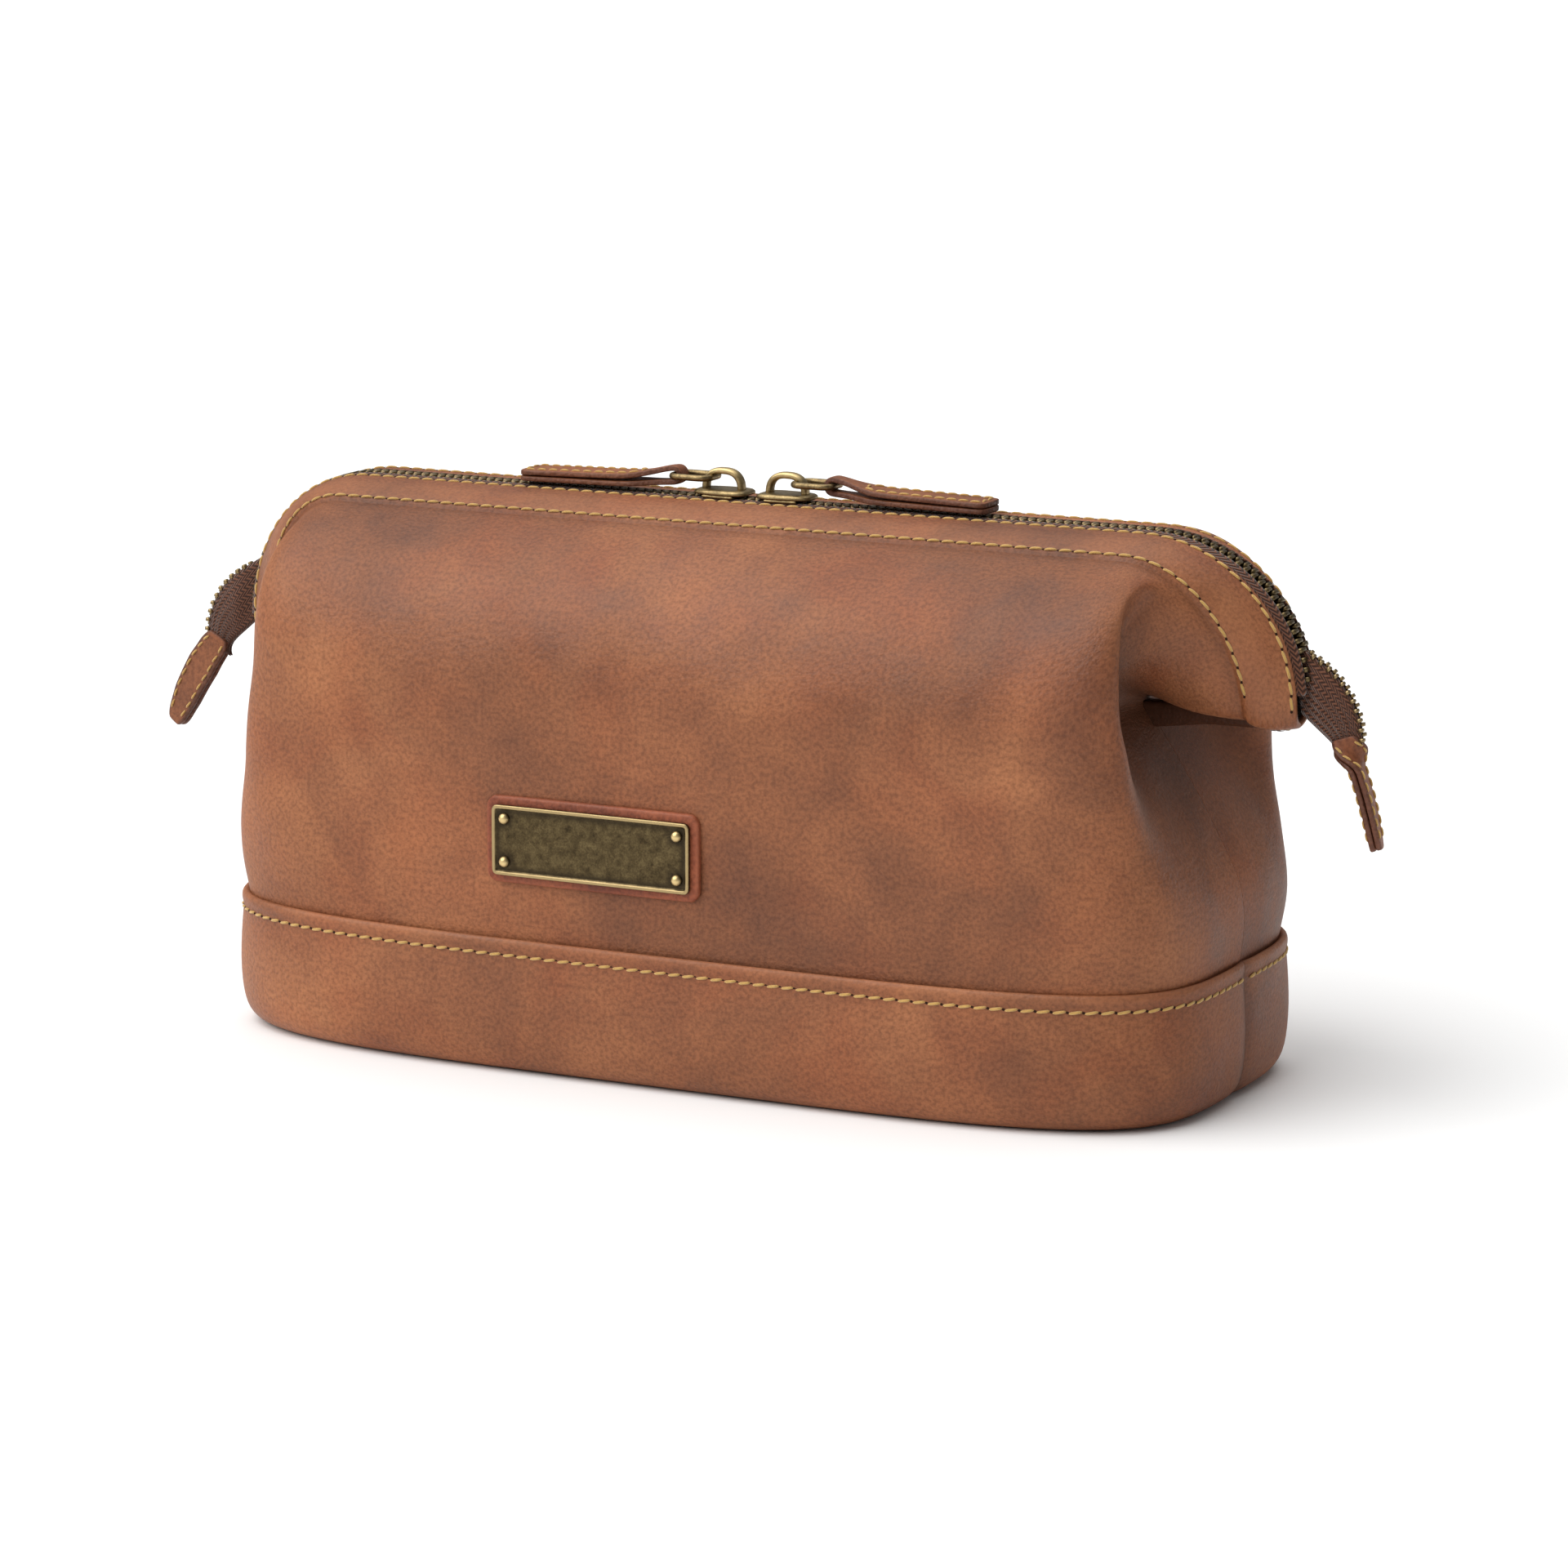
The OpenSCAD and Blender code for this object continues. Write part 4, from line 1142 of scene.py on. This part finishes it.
def pull_stitches(pts, flip):
    """Stitch line round the edge of the upper ply."""
    build = Build()
    length = PULL_END - LOOP_X
    upper = pts[len(pts) // 2:]
    upper = upper[upper[:, 0] > 5.5]
    inset = 1.9

    def top(x, y):
        return np.array([LOOP_X + x, y, np.interp(x, upper[:, 0], upper[:, 1]) + PLY / 2 + 0.02])

    xs = np.arange(9.5, length - inset, 0.8)
    side = [top(x, pull_width(x) / 2 - inset) for x in xs]
    across = [top(length - inset, y) for y in np.linspace(side[-1][1] - 1.0, -side[-1][1] + 1.0, 9)]
    other = [p * [1, -1, 1] for p in side[::-1]]
    path = side + across + other
    frames = [(p, None, np.array([0, 0, 1.0])) for p in path]
    stitch_row(build, None, frames, pitch=3.3, length=2.7, radius=0.32, slant=0.12)
    cross = [(top(9.5, y), None, np.array([0, 0, 1.0])) for y in np.linspace(-side[0][1] + 0.5,
                                                                             side[0][1] - 0.5, 6)]
    stitch_row(build, None, cross, pitch=3.0, length=2.4, radius=0.32)
    if flip:
        build.verts = mirror_x(build.verts).tolist()
    return build


for side_name, flip in (("left", True), ("right", False)):
    build, pts = pull_shape(flip)
    piece = build.piece(f"{side_name}_pull_strap", [hide_solid, edge_leather])
    fix_normals(piece)
    subdivide(piece, 1)
    apply_modifiers(piece)
    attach(piece, f"{side_name}_pull")
    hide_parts(f"{side_name}_pull")
    stitches = pull_stitches(pts, flip).piece(f"{side_name}_pull_stitching", [thread])
    fix_normals(stitches)
    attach(stitches, f"{side_name}_pull")


# ---- Tails: the closed end of the zip and its leather tab ----

TAIL_OUTER = np.array([(-8.0, 19.6), (-3.0, 16.6), (1.4, 13.8), (5.2, 10.4), (8.4, 5.8),
                       (10.4, 0.8), (11.3, -5.0)])
TAIL_INNER = np.array([(-5.0, 1.5), (-1.5, -1.4), (1.2, -3.6), (3.0, -5.2), (4.0, -6.6),
                       (4.3, -7.8), (4.2, -9.0)])


def along(points, k):
    at = np.linspace(0, 1, len(points))
    return np.array([np.interp(k, at, points[:, 0]), np.interp(k, at, points[:, 1])])


def tail_point(k, v, lean):
    """Point (x, z): k runs from the wing to the neck, v from the chain to the lower edge."""
    outer, inner = along(TAIL_OUTER, k), along(TAIL_INNER, k)
    spread = np.array([lean * k ** 2, 0])
    p = outer * (1 - v) + inner * v + spread
    return np.array([TAIL_X + p[0], PIVOT_Z + p[1]])


def build_tail(name, flip, lean):
    build = Build()
    ks, vs = np.linspace(0, 1, 22), np.linspace(0, 1, 12)
    for y_side in (-1, 1):
        for outer_face in (0, 1):
            verts, uvs = [], []
            for k in ks:
                for v in vs:
                    x, z = tail_point(k, v, lean)
                    crown = math.sin(math.pi * min(v * 0.9 + 0.1, 1)) * smooth(0, 0.3,
                                                                               k) * (1 - k) ** 0.6
                    gather = 0.3 * math.sin(v * 26) * smooth(0.3, 0.6,
                                                             k) * (1 - smooth(0.7, 0.95, k))
                    y = y_side * (0.2 + 1.5 * crown + (0.5 if outer_face else 0.0)) + gather
                    verts.append((x, y, z))
                    uvs.append((k * 30 * MM, v * 20 * MM))
            faces = grid_faces(len(ks), len(vs), flip=(y_side > 0) != bool(outer_face))
            build.add(verts, faces, 0, uvs)
        n = len(ks) * len(vs)
        base = len(build.verts) - 2 * n
        rim = []
        for i in range(len(ks) - 1):
            for j in (0, len(vs) - 1):
                a, b = i * len(vs) + j, (i + 1) * len(vs) + j
                rim.append([base + a, base + b, base + n + b, base + n + a])
        for j in range(len(vs) - 1):
            for i in (0, len(ks) - 1):
                a, b = i * len(vs) + j, i * len(vs) + j + 1
                rim.append([base + a, base + b, base + n + b, base + n + a])
        build.faces.extend(rim)
        build.mats.extend([0] * len(rim))
    if flip:
        build.verts = mirror_x(build.verts).tolist()
    piece = build.piece(name, [tape_weave])
    fix_normals(piece)
    return piece


def build_tail_teeth(name, flip, lean):
    build = Build()
    edge = np.array([tail_point(k, 0, lean) for k in np.linspace(0.16, 0.97, 60)])
    arc = np.concatenate([[0], np.cumsum(np.linalg.norm(np.diff(edge, axis=0), axis=1))])
    shape = tooth_shape()
    for i, at in enumerate(np.arange(0, arc[-1], TOOTH_PITCH / 2)):
        x, z = np.interp(at, arc, edge[:, 0]), np.interp(at, arc, edge[:, 1])
        ahead = np.array([np.interp(at + 0.5, arc, edge[:, 0]),
                          np.interp(at + 0.5, arc, edge[:, 1])])
        behind = np.array([np.interp(at - 0.5, arc, edge[:, 0]),
                           np.interp(at - 0.5, arc, edge[:, 1])])
        d2 = (ahead - behind) / np.linalg.norm(ahead - behind)
        d = np.array([d2[0], 0, d2[1]])
        up = np.array([-d2[1], 0, d2[0]])
        y_side = 1 if i % 2 else -1
        centre = np.array([x, 0, z]) + up * 0.15
        for_ring = []
        for r in shape:
            offset = (r[:, 1:2] - 2.9) * y_side * 0.5
            for_ring.append(centre + r[:, :1] * 0.75 * d + offset * np.array([0, 1.0, 0])
                            + r[:, 2:] * 0.5 * up)
        build.loft(for_ring)
    if flip:
        build.verts = mirror_x(build.verts).tolist()
    piece = build.piece(name, [zip_brass])
    fix_normals(piece)
    set_attribute(piece, "wear", np.full(len(piece.data.vertices), 0.4))
    return piece


TAB_LENGTH = 29.5


def tab_frames(lean, twist):
    """Middle line of the tab from its neck to its end, with the direction across it."""
    neck = np.array([TAIL_X + 2.5 + 4.2 * math.cos(math.radians(lean)), 0, PIVOT_Z - 5 + 1.5])
    down = np.array([math.sin(math.radians(lean)), 0, -math.cos(math.radians(lean))])
    across = np.array([math.cos(math.radians(lean)), 0, math.sin(math.radians(lean))])
    out = []
    for k in np.linspace(0, 1, 24):
        turn = math.radians(twist) * smooth(0.0, 0.3, k)
        wide = across * math.cos(turn) + np.array([0, 1.0, 0]) * math.sin(turn)
        deep = np.cross(wide, down)
        bow = 0.9 * math.sin(math.pi * k)
        centre = neck + down * (TAB_LENGTH * k) + across * bow
        out.append((k, centre, wide, deep, down))
    return out


def tab_width(k):
    return np.interp(k, [0, 0.12, 0.35, 0.7, 0.93, 1.0], [6.6, 8.6, 10.0, 9.0, 6.6, 4.2]) / 2


def build_tab(name, flip_name, lean, twist):
    build, stitches = Build(), Build()
    frames = tab_frames(lean, twist)
    for layer in (-1, 1):
        rings = []
        for k, c, wide, deep, down in frames:
            w = tab_width(k)
            open_top = 0.5 * (1 - smooth(0, 0.2, k))
            mid = c + deep * layer * (0.82 + open_top)
            rings.append([mid + wide * (a * w) + deep * (b * 0.78) for a, b in (
                (-1, -0.6), (-0.94, -1), (0, -1), (0.94, -1), (1, -0.6), (1, 0.6), (0.94, 1),
                                                                                (0, 1),
                (-0.94, 1), (-1, 0.6))])
        start = len(build.faces)
        build.loft(rings)
        for i in range(start, len(build.faces)):
            f = build.faces[i]
            cols = {(v - (0 if layer < 0 else len(frames) * 10 + 2)) % 10 for v in f}
            build.mats[i] = 1 if len(f) == 3 or cols in ({4, 5}, {9, 0}, {0, 1}, {3, 4}, {5, 6},
                                                         {8, 9}) else 0
    for face_side in (-1, 1):
        for edge in (-1, 1):
            path = []
            for k, c, wide, deep, down in frames[1:-2]:
                lift = 1.62 + 0.5 * (1 - smooth(0, 0.2, k))
                path.append((c + wide * edge * (tab_width(k) - 1.3) + deep * face_side * lift, None,
                             deep * face_side))
            stitch_row(stitches, None, path, pitch=3.0, length=2.4, radius=0.3)
    if flip_name == "left":
        build.verts = mirror_x(build.verts).tolist()
        stitches.verts = mirror_x(stitches.verts).tolist()
    piece = build.piece(name, [hide_solid, edge_leather])
    fix_normals(piece)
    subdivide(piece, 1)
    apply_modifiers(piece)
    sewn = stitches.piece(f"{name}_stitching", [thread])
    fix_normals(sewn)
    return piece, sewn


for side_name, flip, lean, twist in (("left", True, 31, 14), ("right", False, 18, 103)):
    piece = build_tail(f"{side_name}_tail_weave", flip, -1.0 if flip else 0.0)
    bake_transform(piece)
    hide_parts(f"{side_name}_tail_tape", f"{side_name}_tail_anchor")
    piece = build_tail_teeth(f"{side_name}_tail_teeth", flip, -1.0 if flip else 0.0)
    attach(piece, f"{side_name}_tail")
    piece, sewn = build_tab(f"{side_name}_tab", side_name, lean, twist)
    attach(piece, f"{side_name}_tail")
    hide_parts(f"{side_name}_tail_tab")
    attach(sewn, f"{side_name}_tail")


# ---- Hinge straps inside the wings ----

def build_hinge_strap(name, flip):
    """A narrow leather strap from the end wall to the rivet, rounded over at its end, painted
    near-black as shadow.
    """
    tab_low, tab_high = box_mm("right_hinge_tab")
    build = Build()
    rings = []
    for x in np.linspace(tab_low[0] - 10, tab_high[0] - 0.3, 14):
        k = max((x - tab_low[0]) / (tab_high[0] - tab_low[0]), 0)
        top = PIVOT_Z + np.interp(k, [0, 0.5, 1], [1.5, 2.4, 3.4])
        low = PIVOT_Z - np.interp(k, [0, 0.5, 1], [5.0, 3.0, 2.9])
        w = np.interp(k, [0, 0.5, 0.9, 1], [2.6, 2.4, 2.4, 1.9])
        rings.append([(x, y * w, low + (top - low) * h) for y, h in (
            (-1, 0.12), (-0.8, 0), (0, 0), (0.8, 0), (1, 0.12), (1, 0.5), (1, 0.88), (0.8, 1),
                                                                     (0, 1),
            (-0.8, 1), (-1, 0.88), (-1, 0.5))])
    build.loft(rings)
    if flip:
        build.verts = mirror_x(build.verts).tolist()
    piece = build.piece(name, [hide_solid])
    fix_normals(piece)
    # The whole strap is painted near-black with the shade attribute: a painted shadow under the
    # wing.
    set_attribute(piece, "shade", np.ones(len(piece.data.vertices)))
    return piece


for side_name, flip in (("left", True), ("right", False)):
    piece = build_hinge_strap(f"{side_name}_hinge_strap", flip)
    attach(piece, "root")
    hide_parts(f"{side_name}_hinge_tab")


# ---- Name plate, blank, on its leather patch ----

plate_low, plate_high = box_mm("name_plate")
patch_low, patch_high = box_mm("plate_backing")
PLATE_MID = (plate_low + plate_high) / 2
PLATE_HALF = (plate_high - plate_low) / 2
PATCH_HALF = (patch_high - patch_low) / 2
PATCH_BACK = patch_high[1]
PATCH_FACE = patch_low[1]
PLATE_FACE = plate_low[1]


def rounded_loop(half_w, half_h, r, y, steps=6):
    pts = []
    for cx, cz, a0 in ((1, 1, 0), (-1, 1, 90), (-1, -1, 180), (1, -1, 270)):
        for a in np.linspace(a0, a0 + 90, steps):
            pts.append((PLATE_MID[0] + cx * (half_w - r) + r * math.cos(math.radians(a)), y,
                        PLATE_MID[2] + cz * (half_h - r) + r * math.sin(math.radians(a))))
    return pts


def slab(build, half_w, half_h, levels, mat=0):
    """Rounded slab towards the front: levels are (y, inset, corner radius)."""
    build.loft([rounded_loop(half_w - inset, half_h - inset, r, y) for y, inset, r in levels], mat)


build = Build()
pw, ph = PATCH_HALF[0], PATCH_HALF[2]
slab(build, pw, ph, [(PATCH_BACK + 0.6, 0.3, 3), (PATCH_BACK, 0.05, 3.1),
                     (PATCH_FACE + 0.75, 0, 3.2),
                     (PATCH_FACE + 0.25, 0.25, 3.0), (PATCH_FACE, 0.9, 2.4),
                     (PATCH_FACE + 0.04, 3.2, 1.2)])
patch = build.piece("plate_patch", [patch_leather])
fix_normals(patch)
subdivide(patch, 2)
apply_modifiers(patch)
co = coordinates(patch)
edge = np.maximum(np.abs(co[:, 0] - PLATE_MID[0]) - (pw - 1.2),
                  np.abs(co[:, 2] - PLATE_MID[2]) - (ph - 1.2))
set_attribute(patch, "wear", smooth(0.0, 1.0, edge) * 0.4)
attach(patch, "root")
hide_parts("plate_backing")

build = Build()
bw, bh = PLATE_HALF[0], PLATE_HALF[2]
slab(build, bw, bh, [(PATCH_FACE + 0.2, 0.3, 1.5), (PATCH_FACE - 0.1, 0.02, 1.6),
                     (PLATE_FACE + 0.3, 0, 1.6),
                     (PLATE_FACE + 0.08, 0.12, 1.5), (PLATE_FACE, 0.4, 1.3),
                     (PLATE_FACE, 0.75, 1.0),
                     (PLATE_FACE + 0.12, 1.0, 0.9), (PLATE_FACE + 0.42, 1.2, 0.8),
                     (PLATE_FACE + 0.5, 1.5, 0.7),
                     (PLATE_FACE + 0.5, 4.5, 0.6)])
plate = build.piece("blank_plate", [plate_brass])
fix_normals(plate)
subdivide(plate, 2)
apply_modifiers(plate)
co = coordinates(plate)
rim = np.maximum(np.abs(co[:, 0] - PLATE_MID[0]) - bw, np.abs(co[:, 2] - PLATE_MID[2]) - bh)
raised = smooth(PLATE_FACE + 0.3, PLATE_FACE + 0.02, co[:, 1]) * smooth(-1.4, -0.9, rim)
# Painted shade inside the raised rim and in a ring round each pin head.
recess_shade = smooth(-3.2, -1.6, rim) * (1 - smooth(-1.5, -1.0, rim)) * 0.75
for sx in (-1, 1):
    for sz in (-1, 1):
        away = np.hypot(co[:, 0] - PLATE_MID[0] - sx * (bw - 3.6),
                        co[:, 2] - PLATE_MID[2] - sz * (bh - 3.6))
        recess_shade = np.maximum(recess_shade, 0.9 * smooth(3.2, 1.9, away))
set_attribute(plate, "wear", raised * 0.75)
set_attribute(plate, "shade", recess_shade)
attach(plate, "root")
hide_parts("name_plate")

build = Build()
for sx in (-1, 1):
    for sz in (-1, 1):
        centre = np.array([PLATE_MID[0] + sx * (bw - 3.6), PLATE_FACE + 0.5,
                           PLATE_MID[2] + sz * (bh - 3.6)])
        rings = []
        for a in np.linspace(-12, 84, 8):
            r = 1.55 * math.cos(math.radians(a))
            y = -1.35 * math.sin(math.radians(max(a, -12)))
            rings.append([centre + np.array([r * math.cos(t), y, r * math.sin(t)])
                          for t in np.linspace(0, 2 * math.pi, 21)[:-1]])
        build.loft(rings)
pins = build.piece("plate_pin_heads", [brass])
fix_normals(pins)
co = coordinates(pins)
set_attribute(pins, "wear", smooth(PLATE_FACE, PLATE_FACE - 0.8, co[:, 1]) * 0.9)
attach(pins, "root")
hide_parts("plate_pins")


# ---- Materials of the CAD parts that stay ----

for node, mat, slot_name in (
    ("base_board", board, "board"),
    ("left_hinge_rivet", brass, "antique_brass"), ("right_hinge_rivet", brass, "antique_brass"),
    ("left_pull_ring", brass, "antique_brass"), ("right_pull_ring", brass, "antique_brass"),
    ("front_frame_wire", steel, "frame_steel"), ("rear_frame_wire", steel, "frame_steel"),
):
    part = frame["nodes"][node]
    part.data.materials.clear()
    part.data.materials.append(mat)


# ---- Floor, light and camera ----

stage_mat = Shader("stage_white", Base_Color=(0.9, 0.9, 0.895, 1), Roughness=0.7).mat
FLOOR_HALF = 14.0
floor_mesh = bpy.data.meshes.new("floor")
floor_mesh.from_pydata([(-FLOOR_HALF, -FLOOR_HALF, 0), (FLOOR_HALF, -FLOOR_HALF, 0),
                        (FLOOR_HALF, FLOOR_HALF, 0), (-FLOOR_HALF, FLOOR_HALF, 0)], [],
                       [(0, 1, 2, 3)])
floor_mesh.materials.append(stage_mat)
floor = bpy.data.objects.new("floor", floor_mesh)
bpy.context.scene.collection.objects.link(floor)

world = bpy.data.worlds.new("studio")
bpy.context.scene.world = world
world.use_nodes = True
world.node_tree.nodes["Background"].inputs["Color"].default_value = (1, 1, 1, 1)
world.node_tree.nodes["Background"].inputs["Strength"].default_value = 0.28
bpy.context.scene.view_settings.view_transform = "Standard"


def soft_sun(name, place, strength, spread):
    """Even light over the whole floor, as soft as a lamp of the given spread in degrees."""
    light = bpy.data.lights.new(name, "SUN")
    light.energy = strength
    light.angle = math.radians(spread)
    lamp = bpy.data.objects.new(name, light)
    lamp.rotation_euler = (-Vector(place)).to_track_quat("-Z", "Y").to_euler()
    bpy.context.scene.collection.objects.link(lamp)


soft_sun("key", (-1.05, -1.15, 1.6), 2.9, 65)
soft_sun("top", (-0.2, 0.3, 1.6), 1.5, 70)

CAMERA_TURN = math.radians(26.73)
CAMERA_TILT = math.radians(11.17)
camera_data = bpy.data.cameras.new("camera")
camera_data.lens = 131.4
camera_data.sensor_width = 36
camera_data.shift_x = 0.0179
camera_data.shift_y = -0.0137
camera_data.clip_end = 60
camera = bpy.data.objects.new("camera", camera_data)
camera.location = (0.6625, -1.3155, 0.3658)
look = Vector((-math.sin(CAMERA_TURN) * math.cos(CAMERA_TILT),
               math.cos(CAMERA_TURN) * math.cos(CAMERA_TILT), -math.sin(CAMERA_TILT)))
camera.rotation_euler = look.to_track_quat("-Z", "Y").to_euler()
bpy.context.scene.collection.objects.link(camera)
bpy.context.scene.camera = camera
